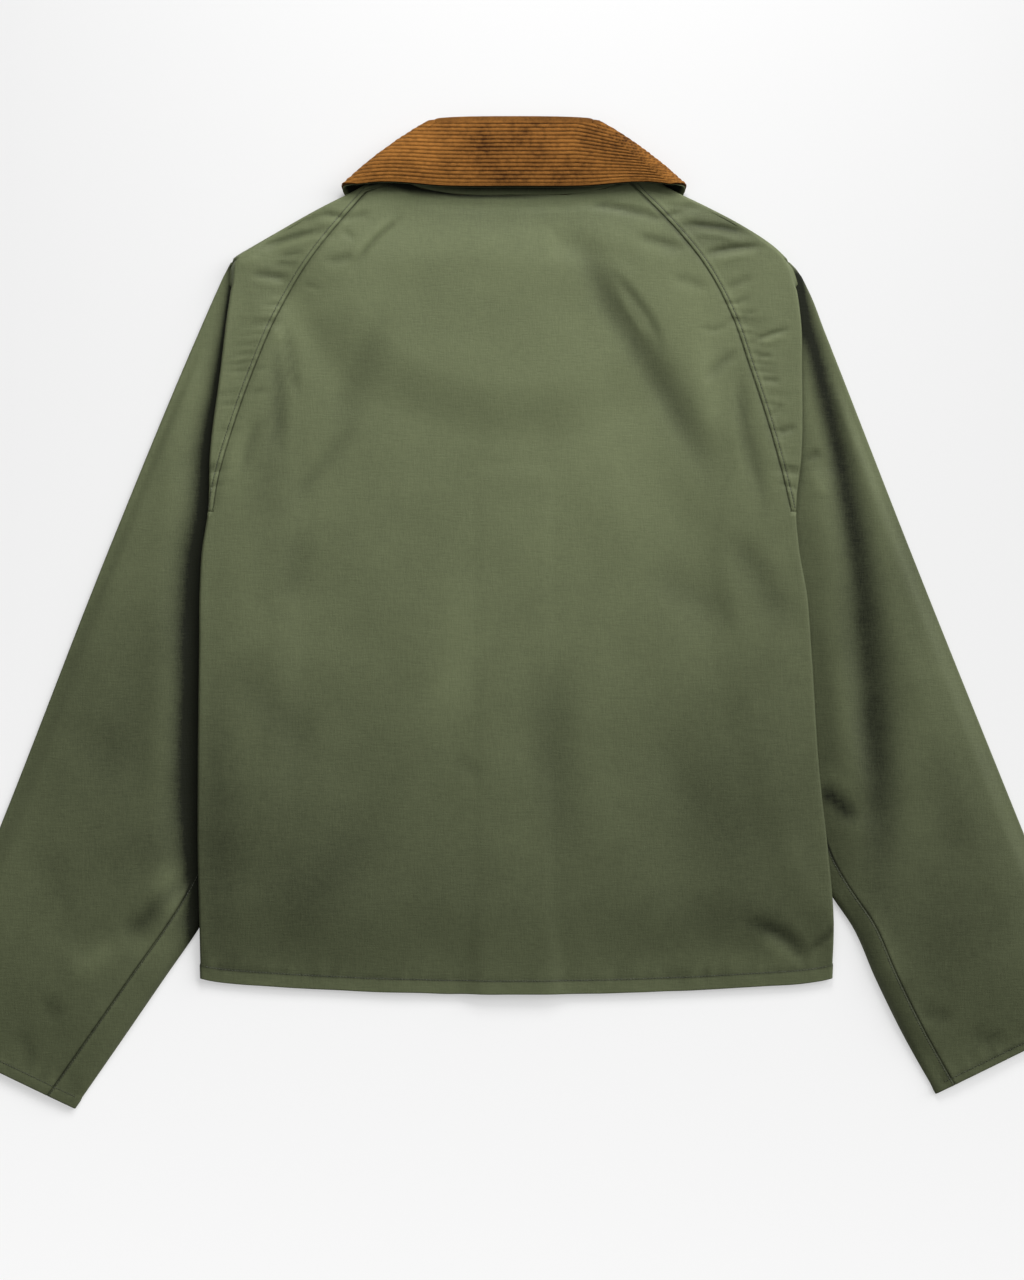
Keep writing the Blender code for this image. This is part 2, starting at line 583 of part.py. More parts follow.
def tube_rows(side):
    """The sleeve's rows from the armpit to the cuff, each all the way round."""
    cuff = CUFF[side]
    band = HEM_BAND / 0.45
    shares = (0.0, 0.08, 0.18, 0.30, 0.42, 0.54, 0.66, 0.78, 0.89, 1 - band - 0.002, 1 - band, 1.0)
    radius = PITCH / 2
    rows = []
    for share in shares:
        outer_up = ARMPIT + (cuff["outer"][1] - ARMPIT) * share
        inner_up = ARMPIT + (cuff["inner"][1] - ARMPIT) * share
        outer = Vector((along(OUTER_EDGE, side, outer_up) - CLOTH / 2, outer_up))
        inner = Vector((along(INNER_FOLD, side, inner_up), inner_up))
        across = (outer - inner).normalized()
        first, last = radius, (outer - inner).length - radius
        shown_from = emerges(side, inner, across, last)
        points = [(first, layer(0))] + turned(first, layer(0), layer(1), 3, outward=-1)
        for d in upper_columns(first, max(shown_from, first + 0.003), last):
            at = inner + across * d
            shown = d - shown_from if shown_from > 0 else d + 0.006 - radius
            points.append((d, sleeve_top_height(side, at.x, at.y, shown)))
        points += turned(last, layer(0), layer(1), 3, rising=False)
        points += [(d, layer(0)) for d in spread(last, first, 5)]
        rows.append([place(side, *(inner + across * d), height) for d, height in points])
    return rows


def emerges(side, inner, across, last):
    """How far along a sleeve's row it comes out from under the body, or 0 where it never is under it."""

    def covered(d):
        at = inner + across * d
        return at.x < along(BODY_EDGE, side, at.y)

    if inner.y < 0.010 or not covered(0.0):
        return 0.0
    low, high = 0.0, last
    for _ in range(50):
        middle = (low + high) / 2
        if covered(middle):
            low = middle
        else:
            high = middle
    return low


def make_sleeve(side):
    upper = [raglan_row(side, up) for up in RAGLAN_ROWS] + [neck_row(side)]
    (x0, y0), (x1, y1) = CUFF[side]["inner"], CUFF[side]["outer"]

    def raised(point):
        right, up = flat(point)
        out = SIDES[side] * right
        above = abs((out - x0) * (y1 - y0) - (up - y0) * (x1 - x0)) / math.hypot(x1 - x0, y1 - y0)
        return HEM_RAISE if above < HEM_BAND and point.z > layer(0) + 0.0003 else 0.0

    return wall(
        f"sleeve_{side}", (upper, tube_rows(side)[::-1]), CLOTH, "waxed_cotton", raised=raised, flip=side == "left"
    )


# The collar


def collar_ring():
    """The collar's stations all the way round, from the left front to the right front."""
    count = len(COLLAR_STATIONS)
    return [station("left", k) for k in range(count - 1, 0, -1)] + [station("right", k) for k in range(count)]


def collar_rows(reach, leaf_steps, longer=0.0):
    """The collar's middle surface at a distance from its fold: leaf, roll and stand, station by station."""
    frames = [collar_frame(at_station) for at_station in collar_ring()]
    rows = []
    for k, (roll, seam, edge, facing) in enumerate(frames):
        leaf, stand = edge - roll, seam - roll
        roll_line = frames[min(k + 1, len(frames) - 1)][0] - frames[max(k - 1, 0)][0]
        away = roll_line.cross(facing).normalized()
        if away.dot(leaf + stand) > 0:
            away.negate()
        edge = edge + leaf.normalized() * longer
        row = [edge.lerp(roll, k / leaf_steps) + facing * reach for k in range(leaf_steps + 1)]
        for k in range(1, 4):
            angle = math.pi * k / 4
            row.append(roll + facing * reach * math.cos(angle) + away * reach * math.sin(angle))
        row += [roll.lerp(seam, k / 2) - facing * reach for k in range(3)]
        rows.append(row)
    return rows


def make_collar():
    leaf_steps = 2 * WALES
    rows = collar_rows(COLLAR_REACH, leaf_steps)
    ridges = {}
    for row in rows:
        for k, point in enumerate(row):
            ridges[tuple(round(c, 6) for c in point)] = WALE_HEIGHT if k < leaf_steps and k % 2 else 0.0

    def raised(point):
        return ridges[tuple(round(c, 6) for c in point)]

    wall("collar_top", (rows,), CORDUROY, "corduroy", raised=raised, flip=True)
    wall("collar_under", (collar_rows(ROLL_RADIUS, 6, longer=0.0008),), UNDER_COLLAR, "waxed_cotton", flip=True)


# The front's fastening


def make_studs():
    for number, up in enumerate(STUD_HEIGHTS, 1):
        height = front_height("left", 0.0, up) + CLOTH / 2 + SEAM_GAP + STUD_THICKNESS / 2
        solid = bmesh.new()
        bmesh.ops.create_cone(
            solid, cap_ends=True, segments=16, radius1=STUD_RADIUS, radius2=STUD_RADIUS * 0.85, depth=STUD_THICKNESS
        )
        bmesh.ops.translate(solid, verts=solid.verts, vec=place("right", 0.0, up, height))
        add_object(f"press_stud_{number}", solid, "stud_metal")


def make_materials():
    for name, finish in COLOURS.items():
        material = bpy.data.materials.new(name)
        material.use_nodes = True
        shader = material.node_tree.nodes["Principled BSDF"]
        shader.inputs["Base Color"].default_value = (*finish["colour"], 1.0)
        shader.inputs["Roughness"].default_value = finish["roughness"]
        shader.inputs["Metallic"].default_value = finish["metallic"]


def main():
    for old in list(bpy.data.objects):
        bpy.data.objects.remove(old)
    make_materials()
    make_back()
    for side in SIDES:
        make_front(side)
        make_sleeve(side)
    make_collar()
    make_studs()


main()
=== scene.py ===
import bisect
import math
import random

import bmesh
import bpy
import numpy as np
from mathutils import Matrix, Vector, noise
from mathutils.bvhtree import BVHTree


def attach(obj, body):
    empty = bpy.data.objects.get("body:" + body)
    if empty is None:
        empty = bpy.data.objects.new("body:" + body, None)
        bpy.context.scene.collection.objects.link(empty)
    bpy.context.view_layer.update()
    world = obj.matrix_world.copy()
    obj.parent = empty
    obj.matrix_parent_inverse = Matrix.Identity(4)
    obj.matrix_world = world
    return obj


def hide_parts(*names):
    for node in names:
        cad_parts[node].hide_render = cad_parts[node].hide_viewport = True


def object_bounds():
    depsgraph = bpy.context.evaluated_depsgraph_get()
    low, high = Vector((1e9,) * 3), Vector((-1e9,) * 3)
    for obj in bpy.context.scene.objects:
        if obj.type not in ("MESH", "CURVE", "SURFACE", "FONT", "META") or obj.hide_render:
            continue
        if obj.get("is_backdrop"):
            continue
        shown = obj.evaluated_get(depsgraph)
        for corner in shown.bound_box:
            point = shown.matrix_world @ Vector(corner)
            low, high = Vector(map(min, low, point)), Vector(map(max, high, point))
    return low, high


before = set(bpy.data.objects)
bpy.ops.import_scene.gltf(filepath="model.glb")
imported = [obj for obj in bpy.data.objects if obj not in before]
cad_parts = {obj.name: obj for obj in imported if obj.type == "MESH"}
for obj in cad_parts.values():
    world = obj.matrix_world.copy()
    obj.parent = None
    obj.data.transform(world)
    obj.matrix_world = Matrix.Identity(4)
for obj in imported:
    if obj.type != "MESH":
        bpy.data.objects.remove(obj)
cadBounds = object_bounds()
print("frame loaded:", len(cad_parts), "nodes")

# The jacket lies face down. out = from the centre line towards one side's sleeve, up = above the hem,
# both in metres as the cut has them; place() turns them into the frame's x and y.
sides = {"left": -1, "right": 1}
cloth = {
    "thickness": 0.0015,
    "pitch": 0.0019,  # from one layer to the next
    "seamGap": 0.0003,
    "originUp": 0.3075,
    "originRight": -0.007,
}
body = {
    "hem": 0.013,  # up, at the hem's corners
    "armpit": 0.390,  # up, where the raglan seams meet the body's edge
    "pleatTop": 0.568,  # up, the last row where the sleeve's pleat lies flat
    "shoulderTip": 0.594,  # up, where the pleat starts
    "neckRow": 0.668,  # up, the neck's row if it were level
    "lastRow": 0.648,  # up, the last row before the neck's own
    "frontLap": 0.044,
    "hemBand": 0.0115,
    "hemRaise": 0.0006,
    "hemDip": 0.013,
    "hemUneven": 0.0005,
    "halfWidth": {"left": 0.2532, "right": 0.2570},
    "cornerShare": 0.18,  # of the dip, in the last centimetre at the hem's corners
    "cornerWide": 0.008,
}


def curveTable(**columns):  # a table of values over "up", with the slopes of a smooth curve through them
    ups = columns.pop("up")
    slopes = {name: [float(s) for s in np.gradient(values, ups)] for name, values in columns.items()}
    return {"up": ups, "values": columns, "slopes": slopes}


bodyEdge = curveTable(
    up=(0.013, 0.057, 0.118, 0.177, 0.280, 0.324, 0.356, 0.390, 0.437, 0.502, 0.543, 0.580, 0.594),
    left=(0.2532, 0.2540, 0.2554, 0.2553, 0.2542, 0.2538, 0.2522, 0.2471, 0.2455, 0.2373, 0.2324, 0.2275,
          0.2268),
    right=(0.2570, 0.2582, 0.2534, 0.2469, 0.2400, 0.2365, 0.2308, 0.2278, 0.2322, 0.2326, 0.2318, 0.2255,
           0.2205),
)
backRaglan = curveTable(
    up=(0.390, 0.410, 0.461, 0.507, 0.546, 0.590, 0.623, 0.654, 0.668),
    left=(0.2430, 0.2400, 0.2257, 0.2090, 0.1923, 0.1666, 0.1408, 0.1131, 0.0985),
    right=(0.2237, 0.2190, 0.2050, 0.1900, 0.1765, 0.1525, 0.1257, 0.0957, 0.0835),
)
frontRaglan = curveTable(
    up=(0.390, 0.450, 0.520, 0.594, 0.640, 0.668),
    left=(0.1930, 0.1800, 0.1580, 0.1250, 0.0980, 0.0810),
    right=(0.1760, 0.1700, 0.1520, 0.1200, 0.0970, 0.0810),
)
innerFold = curveTable(
    up=(-0.092, -0.030, 0.013, 0.0565, 0.080, 0.100, 0.160, 0.240, 0.320, 0.390, 0.437, 0.502, 0.543, 0.568,
        0.594),
    left=(0.3560, 0.3130, 0.2835, 0.2536, 0.2398, 0.2300, 0.2160, 0.2100, 0.2070, 0.2055, 0.2105, 0.2150,
          0.2195, 0.2246, 0.2268),
    right=(0.3490, 0.3140, 0.2930, 0.2735, 0.2575, 0.2460, 0.2255, 0.2060, 0.1930, 0.1885, 0.1980, 0.2110,
           0.2190, 0.2240, 0.2205),
)
outerEdge = curveTable(
    up=(-0.031, 0.133, 0.360, 0.536, 0.569, 0.585, 0.594, 0.604, 0.620, 0.635, 0.650, 0.668),
    left=(0.4840, 0.4165, 0.3275, 0.2545, 0.2400, 0.2325, 0.2268, 0.2110, 0.1835, 0.1560, 0.1265, 0.0960),
    right=(0.4770, 0.4110, 0.3200, 0.2512, 0.2381, 0.2292, 0.2205, 0.2100, 0.1860, 0.1570, 0.1265, 0.0960),
)
cuff = {
    "left": {"outer": (0.4840, -0.0310), "inner": (0.3560, -0.0920)},
    "right": {"outer": (0.4770, -0.0170), "inner": (0.3490, -0.0800)},
}
# the largest folds, which the solids have too: ends (right, up), width and depth
largeFolds = (
    {"cloth": "top", "from": (-0.085, 0.640), "to": (-0.150, 0.560), "width": 0.020, "depth": 0.0012},
    {"cloth": "top", "from": (-0.185, 0.575), "to": (-0.130, 0.470), "width": 0.030, "depth": 0.0012},
    {"cloth": "top", "from": (-0.190, 0.470), "to": (-0.200, 0.300), "width": 0.034, "depth": 0.0011},
    {"cloth": "top", "from": (0.020, 0.610), "to": (0.100, 0.590), "width": 0.022, "depth": 0.0012},
    {"cloth": "top", "from": (0.060, 0.560), "to": (0.170, 0.300), "width": 0.060, "depth": 0.0020},
    {"cloth": "top", "from": (0.175, 0.440), "to": (0.215, 0.250), "width": 0.040, "depth": 0.0012},
    {"cloth": "top", "from": (-0.150, 0.330), "to": (-0.120, 0.080), "width": 0.070, "depth": 0.0016},
    {"cloth": "top", "from": (0.120, 0.220), "to": (0.150, 0.050), "width": 0.060, "depth": 0.0016},
    {"cloth": "right sleeve", "from": (0.236, 0.560), "to": (0.292, 0.160), "width": 0.026, "depth": 0.0028},
    {"cloth": "right sleeve", "from": (0.244, 0.440), "to": (0.262, 0.428), "width": 0.018, "depth": 0.0010},
    {"cloth": "right sleeve", "from": (0.262, 0.175), "to": (0.292, 0.140), "width": 0.020, "depth": 0.0014},
    {"cloth": "left sleeve", "from": (-0.285, 0.420), "to": (-0.300, 0.140), "width": 0.050, "depth": 0.0012},
    {"cloth": "left sleeve", "from": (-0.300, 0.060), "to": (-0.350, 0.030), "width": 0.040, "depth": 0.0014},
)


def smooth(share):
    t = min(1.0, max(0.0, share))
    return t * t * (3 - 2 * t)


def hermite(t, start, end, startSlope, endSlope):
    return (
        (2 * t**3 - 3 * t**2 + 1) * start
        + (t**3 - 2 * t**2 + t) * startSlope
        + (3 * t**2 - 2 * t**3) * end
        + (t**3 - t**2) * endSlope
    )


def along(table, side, up):
    ups, values, slopes = table["up"], table["values"][side], table["slopes"][side]
    if up <= ups[0]:
        return values[0] + slopes[0] * (up - ups[0])
    if up >= ups[-1]:
        return values[-1] + slopes[-1] * (up - ups[-1])
    k = bisect.bisect_left(ups, up) - 1
    width = ups[k + 1] - ups[k]
    t = (up - ups[k]) / width
    return hermite(t, values[k], values[k + 1], width * slopes[k], width * slopes[k + 1])


def layer(number):  # the height of a layer's middle, counted from the floor
    return cloth["thickness"] / 2 + number * cloth["pitch"]


def spread(start, end, count):
    return [start + (end - start) * k / (count - 1) for k in range(count)]


def sideOf(right):
    return "left" if right < 0 else "right"


def alongAndOff(x, y, start, end):  # distances along the line from start to end, and off it
    (x0, y0), (x1, y1) = start, end
    length = math.hypot(x1 - x0, y1 - y0)
    run = ((x - x0) * (x1 - x0) + (y - y0) * (y1 - y0)) / length
    return run, ((x - x0) * (y1 - y0) - (y - y0) * (x1 - x0)) / length


def troughs(name, right, up):
    sunk = 0.0
    for fold in largeFolds:
        if fold["cloth"] != name:
            continue
        run, off = alongAndOff(right, up, fold["from"], fold["to"])
        share = run / math.dist(fold["from"], fold["to"])
        ends = smooth(share / 0.3 + 0.5) * smooth((1 - share) / 0.3 + 0.5)  # each end fades over 30 % of it
        sunk += fold["depth"] * ends * math.exp(-((2 * off / fold["width"]) ** 2))
    return sunk


# how the layers settle on what lies under them: the widths of their slopes and the room between them
settle = {
    "insideFold": 0.012,  # level this far inside the sleeve's fold
    "foldSlope": 0.030,
    "tipSlope": 0.050,
    "armpitSlope": 0.030,
    "collarUp": 0.640,
    "collarHalf": (0.150, 0.145),  # out and up
    "collarSlope": 0.35,  # of that half
    "studsEnd": 0.415,
    "studsSlope": 0.030,
    "lap": 0.0019,
    "studs": 0.0012,
    "lapFlat": 0.002,
    "lapSlope": 0.022,
    "leastRoom": 0.0008,
    "room": 0.0034,  # the most between front and back
    "edgeRoom": {"left": 0.0018, "right": 0.0010},
    "collarRoom": 0.0005,
    "foldRoom": 0.0020,
    "foldRoomWide": 0.030,
    "flatShare": 0.25,  # of the room that is left at a hem
    "hemSlope": 0.090,
    "cuffSlope": 0.080,
    "pleatBehind": 0.002,
    "pleatSlope": 0.008,
    "sleevePuff": 0.0034,
    "puffFrom": {"left": 0.040, "right": 0.024},
    "puffSlope": 0.045,
    "sunkFrom": 0.010,
}


def overSleeve(side, out, up):
    inward = along(innerFold, side, min(up, body["shoulderTip"])) - out
    aboveTip = smooth((up - body["shoulderTip"]) / settle["tipSlope"])
    return (1 - smooth((inward - settle["insideFold"]) / settle["foldSlope"])) * (1 - aboveTip)


def liftedBySleeve(side, out, up):
    nearArmpit = 1 - smooth((up - body["armpit"]) / settle["armpitSlope"])
    return 2 * cloth["pitch"] * overSleeve(side, out, up) * nearArmpit


def overCollar(out, up):
    halfOut, halfUp = settle["collarHalf"]
    away = math.hypot(out / halfOut, (up - settle["collarUp"]) / halfUp)
    return 1 - smooth((away - 1.0) / settle["collarSlope"])


def lapRise(right, up):
    high = settle["lap"] + settle["studs"] * (1 - smooth((up - settle["studsEnd"]) / settle["studsSlope"]))
    pastLap = abs(right) - body["frontLap"] / 2 - settle["lapFlat"]
    return high * (1 - smooth(pastLap / settle["lapSlope"]))


def frontHeight(side, out, up):
    lifted = liftedBySleeve(side, out, up) + collar["rise"] * overCollar(out, up)
    if side == "right":
        lifted += lapRise(out, up)
    return layer(0) + lifted


def sleeveBottomHeight(side, out, up):
    pastFold = along(innerFold, side, min(up, body["shoulderTip"])) - settle["pleatBehind"] - out
    lifted = liftedBySleeve(side, out, up) * smooth(pastFold / settle["pleatSlope"])
    return layer(0) + lifted + collar["rise"] * overCollar(out, up)


def flatter(away, width):  # less room close to a hem
    return settle["flatShare"] + (1 - settle["flatShare"]) * smooth(away / width)


def topHeight(side, out, up):
    right = sides[side] * out
    sleeve, nearCollar = overSleeve(side, out, up), overCollar(out, up)
    least = max(settle["leastRoom"], lapRise(right, up) + settle["leastRoom"])
    room = settle["room"] - (settle["room"] - settle["edgeRoom"][side]) * sleeve
    room = (room - settle["collarRoom"] * nearCollar) * flatter(up, settle["hemSlope"])
    pastTip = smooth((up - body["shoulderTip"]) / settle["foldRoomWide"])
    nearOuter = 1 - smooth((along(outerEdge, side, up) - out) / settle["foldRoomWide"])
    room -= (room - settle["foldRoom"]) * pastTip * nearOuter
    cover = layer(0) + 2 * cloth["pitch"] * sleeve + collar["rise"] * nearCollar
    return cover + cloth["thickness"] + max(least, room - troughs("top", right, up))


def sleeveTopHeight(side, out, up, shown):
    fromOuter = along(outerEdge, side, up) - out
    puff = settle["sleevePuff"] * smooth(shown / settle["puffFrom"][side])
    puff *= smooth(fromOuter / settle["puffSlope"]) * flatter(aboveCuff(side, out, up), settle["cuffSlope"])
    sunk = troughs(f"{side} sleeve", sides[side] * out, up) * smooth(shown / settle["sunkFrom"])
    return layer(1) + max(0.0, puff - sunk)


def aboveCuff(side, out, up):
    return abs(alongAndOff(out, up, cuff[side]["inner"], cuff[side]["outer"])[1])


# the collar: corduroy leaf over a waxed under collar, one fold from the neck seam to the leaf's edge
collar = {
    "corduroy": 0.0014,
    "under": 0.0010,
    "gap": 0.0007,
    "rollRadius": 0.0008,
    "backHeight": 0.0124,
    "rise": 0.0049,
    "wale": 0.0032,
    "waleHeight": 0.0006,
    "waleBend": {"left": 0.12, "right": 0.65},  # how far the wales turn down towards the leaf's corners
    "hemBand": 0.0024,  # the plain turned edge below the first wale
    "leafLift": 0.0045,
    "bulge": 0.0028,  # how far the leaf rounds out half way down
    "seamDrop": 0.0007,  # how far the neck seam and the leaf's edge lie below the roll
    "edgeDrop": 0.0004,
    "neckGap": 0.0005,
    "neckDrop": 0.0011,  # the body's cloth lies between the collar's two walls there
    "seamTurn": 0.0040,  # how far the corduroy goes on under the body's cloth
    "underLonger": 0.0008,  # how far the under collar shows below the leaf
    # painted shade under the leaf, over the whole under collar
    "underShade": -8.0,
    "frameStep": 0.0022,
    "turnLength": 0.014,  # of the corner that a full turn goes round
    "turnWeight": 0.02,
    "backMark": 3.0,  # the stations between which the raglan sleeves are sewn to the neck
    "frontMark": 10.0,
}
collar["reach"] = collar["rollRadius"] + collar["under"] / 2 + collar["gap"] + collar["corduroy"] / 2
collar["frontHeight"] = collar["reach"] + collar["corduroy"] / 2 + 0.0005
stationLines = ("seam", "roll", "edge")
# stations round half the neck: neck seam, roll and leaf's edge as (out, up), and how far it has turned under
stationRows = (
    ((0.0000, 0.6455), (0.0000, 0.7050), (0.0000, 0.6515), 0.00),
    ((0.0420, 0.6460), (0.0370, 0.7047), (0.0550, 0.6518), 0.00),
    ((0.0740, 0.6510), (0.0590, 0.7036), (0.1000, 0.6550), 0.00),
    ((0.0900, 0.6575), (0.0628, 0.7022), (0.1260, 0.6530), 0.00),
    ((0.0962, 0.6603), (0.0646, 0.7006), (0.1305, 0.6498), 0.14),
    ((0.0986, 0.6615), (0.0660, 0.6990), (0.1338, 0.6475), 0.32),
    ((0.0990, 0.6618), (0.0670, 0.6975), (0.1345, 0.6460), 0.50),
    ((0.0989, 0.6616), (0.0677, 0.6970), (0.1343, 0.6446), 0.68),
    ((0.0974, 0.6602), (0.0673, 0.6962), (0.1335, 0.6425), 0.86),
    ((0.0920, 0.6550), (0.0680, 0.6930), (0.1310, 0.6330), 1.00),
    ((0.0800, 0.6370), (0.0620, 0.6750), (0.1240, 0.6000), 1.00),
    ((0.0560, 0.5990), (0.0450, 0.6380), (0.1040, 0.5560), 1.00),
    ((0.0320, 0.5720), (0.0260, 0.6080), (0.0770, 0.5240), 1.00),
    ((0.0035, 0.5605), (0.0040, 0.5900), (0.0500, 0.5060), 1.00),
)


def station(side, number):
    low = min(int(number), len(stationRows) - 2)
    share = number - low
    first, second = stationRows[low], stationRows[low + 1]
    made = {key: Vector(first[k]).lerp(Vector(second[k]), share) for k, key in enumerate(stationLines)}
    made["turn"] = first[3] + (second[3] - first[3]) * share
    made["side"] = side
    return made


def place(side, out, up, height):
    return Vector((sides[side] * out - cloth["originRight"], up - cloth["originUp"], height))


def flat(point):
    return point[0] + cloth["originRight"], point[1] + cloth["originUp"]


def collarFrame(at):
    side, turn = at["side"], at["turn"]
    across = (at["edge"] - at["roll"]).normalized()
    outward = Vector((-across.y, across.x))
    angle = math.pi * turn
    middle = (collar["backHeight"] + collar["frontHeight"]) / 2
    ring = (collar["backHeight"] - collar["frontHeight"]) / 2
    level = outward * math.sin(angle)
    facing = Vector((sides[side] * level.x, level.y, math.cos(angle)))
    height = middle + ring * math.cos(angle)

    def put(point, lift):
        moved = point + level * ring
        return place(side, moved.x, moved.y, height + lift)

    seam = put(at["seam"], -collar["seamDrop"] * (1 - turn))
    edge = put(at["edge"], -collar["edgeDrop"] * (1 - turn))
    return put(at["roll"], 0), seam, edge, facing


def neckPoint(side, number):
    roll, seam, _, facing = collarFrame(station(side, number))
    return seam - facing * collar["neckDrop"] + (seam - roll).normalized() * collar["neckGap"]


# Cloth sheets: rows of points (x, y, z, lift). lift is how much of the creases that point takes.
panel = {
    "slopes": ((0.042, 0.018), (0.027, 0.012), (0.012, 0.006)),  # inside the sleeve's fold, or at least foot
    "besideLap": (0.012, 0.024),
    "foot": 0.003,  # the last column is this far inside the body's fold
    "beforeFoot": 0.0012,
    "fineSteps": (4, 3, 3, 12, 16, 16, 6, 6, 7, 2),
    "plainSteps": (2, 1, 1, 3, 3, 3, 1, 1, 2, 1),
    "hemRows": (0.0, 0.0012, 0.0030, 0.0060, 0.0090, 0.0105, 0.0120, 0.0128, 0.0140, 0.0165),
    "hemReach": 0.20,  # how far above the hem the rows follow its dip
    "rowStep": {"back": 0.0046, "front": 0.0125},
    "raglanRows": {"back": 150, "front": 20},
    "edgeSteps": 7,
    "neckRows": 4,
    "frontSeamTop": 0.637,
}


def turned(centre, low, high, count, outward=1, rising=True):
    radius = (high - low) / 2
    angles = [-math.pi / 2 + math.pi * (k + 1) / (count + 1) for k in range(count)]
    points = [(centre + outward * radius * math.cos(a), low + radius + radius * math.sin(a)) for a in angles]
    return points if rising else points[::-1]


def bodyFold(side, up):
    edge = along(bodyEdge, side, up) - cloth["thickness"] / 2
    radius = (topHeight(side, edge, up) - frontHeight(side, edge, up)) / 2
    return edge - radius, radius


def raglanFoot(side, up):
    return bodyFold(side, up)[0] - panel["foot"]


def hemDrop(right):  # how much of the dip the hem has there: none at its corners, all in the middle
    half = np.where(right < 0, body["halfWidth"]["left"], body["halfWidth"]["right"])
    inward = half - np.minimum(half, np.abs(right))
    corner = body["cornerShare"] * (1 - np.exp(-inward / body["cornerWide"]))
    return corner + (1 - body["cornerShare"]) * (1 - (1 - inward / half) ** 2)


def hemUp(right, rowUp, endUp):  # a row's height there: the hem's dip fades out over the rows above it
    near = 1 - smooth(rowUp / panel["hemReach"])
    uneven = body["hemUneven"] * noise.noise(Vector((right * 40, 2.5, 0.5))) * near**4
    return endUp + uneven - body["hemDip"] * near * float(hemDrop(right))


def finer(values, steps):  # each gap of the list in so many equal steps
    made = [values[0]]
    for low, high, count in zip(values, values[1:], steps):
        made += [low + (high - low) * (k + 1) / count for k in range(count)]
    return made


def columns(side, up, fine):  # from the centre line out: the lap, the panel, and its slope over the sleeve
    foot = raglanFoot(side, up)
    inner = along(innerFold, side, up)
    slope = [min(inner - inside, foot - least) for inside, least in panel["slopes"]]
    half = body["frontLap"] / 2
    lap = [0.0, half] + [half + beside for beside in panel["besideLap"]]
    marks = lap + spread(lap[-1], slope[0], 4)[1:] + slope[1:] + [foot - panel["beforeFoot"], foot]
    return finer(marks, panel["fineSteps" if fine else "plainSteps"])


def rowUps(step):  # close together at the turned-up hem and its stitches, then even
    band = [body["hem"] + above for above in panel["hemRows"]]
    count = round((body["armpit"] - band[-1]) / step)
    return band + spread(band[-1], body["armpit"], count + 1)[1:]


def bodyPoint(side, out, up, height, lift=1.0):
    rowUp = hemUp(sides[side] * out, up - body["hem"], up)
    return (*place(side, out, rowUp, height(side, out, rowUp)), lift)


def backEdge(side, up):  # round the body's edge, down to the side seam underneath
    start, _ = bodyFold(side, up)
    low, high = frontHeight(side, start, up), topHeight(side, start, up)
    turn = turned(start, low, high, panel["edgeSteps"], rising=False)
    points = []
    for out, height in [(start, high)] + turn + [(start, low), (start - panel["foot"], low)]:
        lift = smooth((height - low) / (high - low)) if high > low else 0
        points.append((*place(side, out, hemUp(sides[side] * out, up - body["hem"], up), height), lift))
    return points


def fanRows(start, end, edges, height, ups):  # rows from the armpit up to the neck's row
    rows = []
    for up in ups:
        share = (up - body["armpit"]) / (body["neckRow"] - body["armpit"])
        row = [Vector(a).lerp(Vector(b), share) for a, b in zip(start, end)]
        first, last = edges(up)
        firstShift, lastShift = Vector(first) - row[0], Vector(last) - row[-1]
        count = len(row) - 1
        for k, point in enumerate(row):  # each end's shift fades out over 5/8 of the row
            nearFirst, nearLast = max(0.0, 1 - 1.6 * k / count), max(0.0, 1 - 1.6 * (count - k) / count)
            row[k] = point + firstShift * nearFirst + lastShift * nearLast
        rows.append([height(p.x, p.y) for p in row])
    return rows


def toNeck(lastRow, neck, count):  # rows between the last level row and the neck's own
    rows = []
    for k in range(1, count + 1):
        share = k / count
        rows.append([
            tuple(a[i] + (b[i] - a[i]) * (smooth(share) if i == 2 else share) for i in range(3)) + (0.0,)
            for a, b in zip(lastRow, neck)
        ])
    return rows


def raglanUps():
    return spread(body["armpit"], body["lastRow"], panel["raglanRows"]["back"])


def backRows():
    lower = []
    for up in rowUps(panel["rowStep"]["back"]):
        left = [bodyPoint("left", out, up, topHeight) for out in columns("left", up, True)[:0:-1]]
        right = [bodyPoint("right", out, up, topHeight) for out in columns("right", up, True)]
        lower.append(backEdge("left", up)[::-1] + left + right + backEdge("right", up))
    outs = [-o for o in columns("left", body["armpit"], True)[:0:-1]] + columns("right", body["armpit"], True)
    neck = []
    for right in outs:
        share = right / outs[0] if right < 0 else right / outs[-1]
        neck.append(neckPoint(sideOf(right), collar["backMark"] * share))

    def edges(up):
        return [(sides[side] * along(backRaglan, side, up), up) for side in sides]

    def corner(right, up):
        side = sideOf(right)
        return (*place(side, abs(right), up, topHeight(side, abs(right), up)), 1.0)

    first = [bodyPoint(sideOf(right), abs(right), body["armpit"], topHeight) for right in outs]
    starts = [(right, body["armpit"]) for right in outs]
    fan = fanRows(starts, [flat(p) for p in neck], edges, corner, raglanUps()[1:])
    return lower, [first] + fan + toNeck(fan[-1], neck, panel["neckRows"])


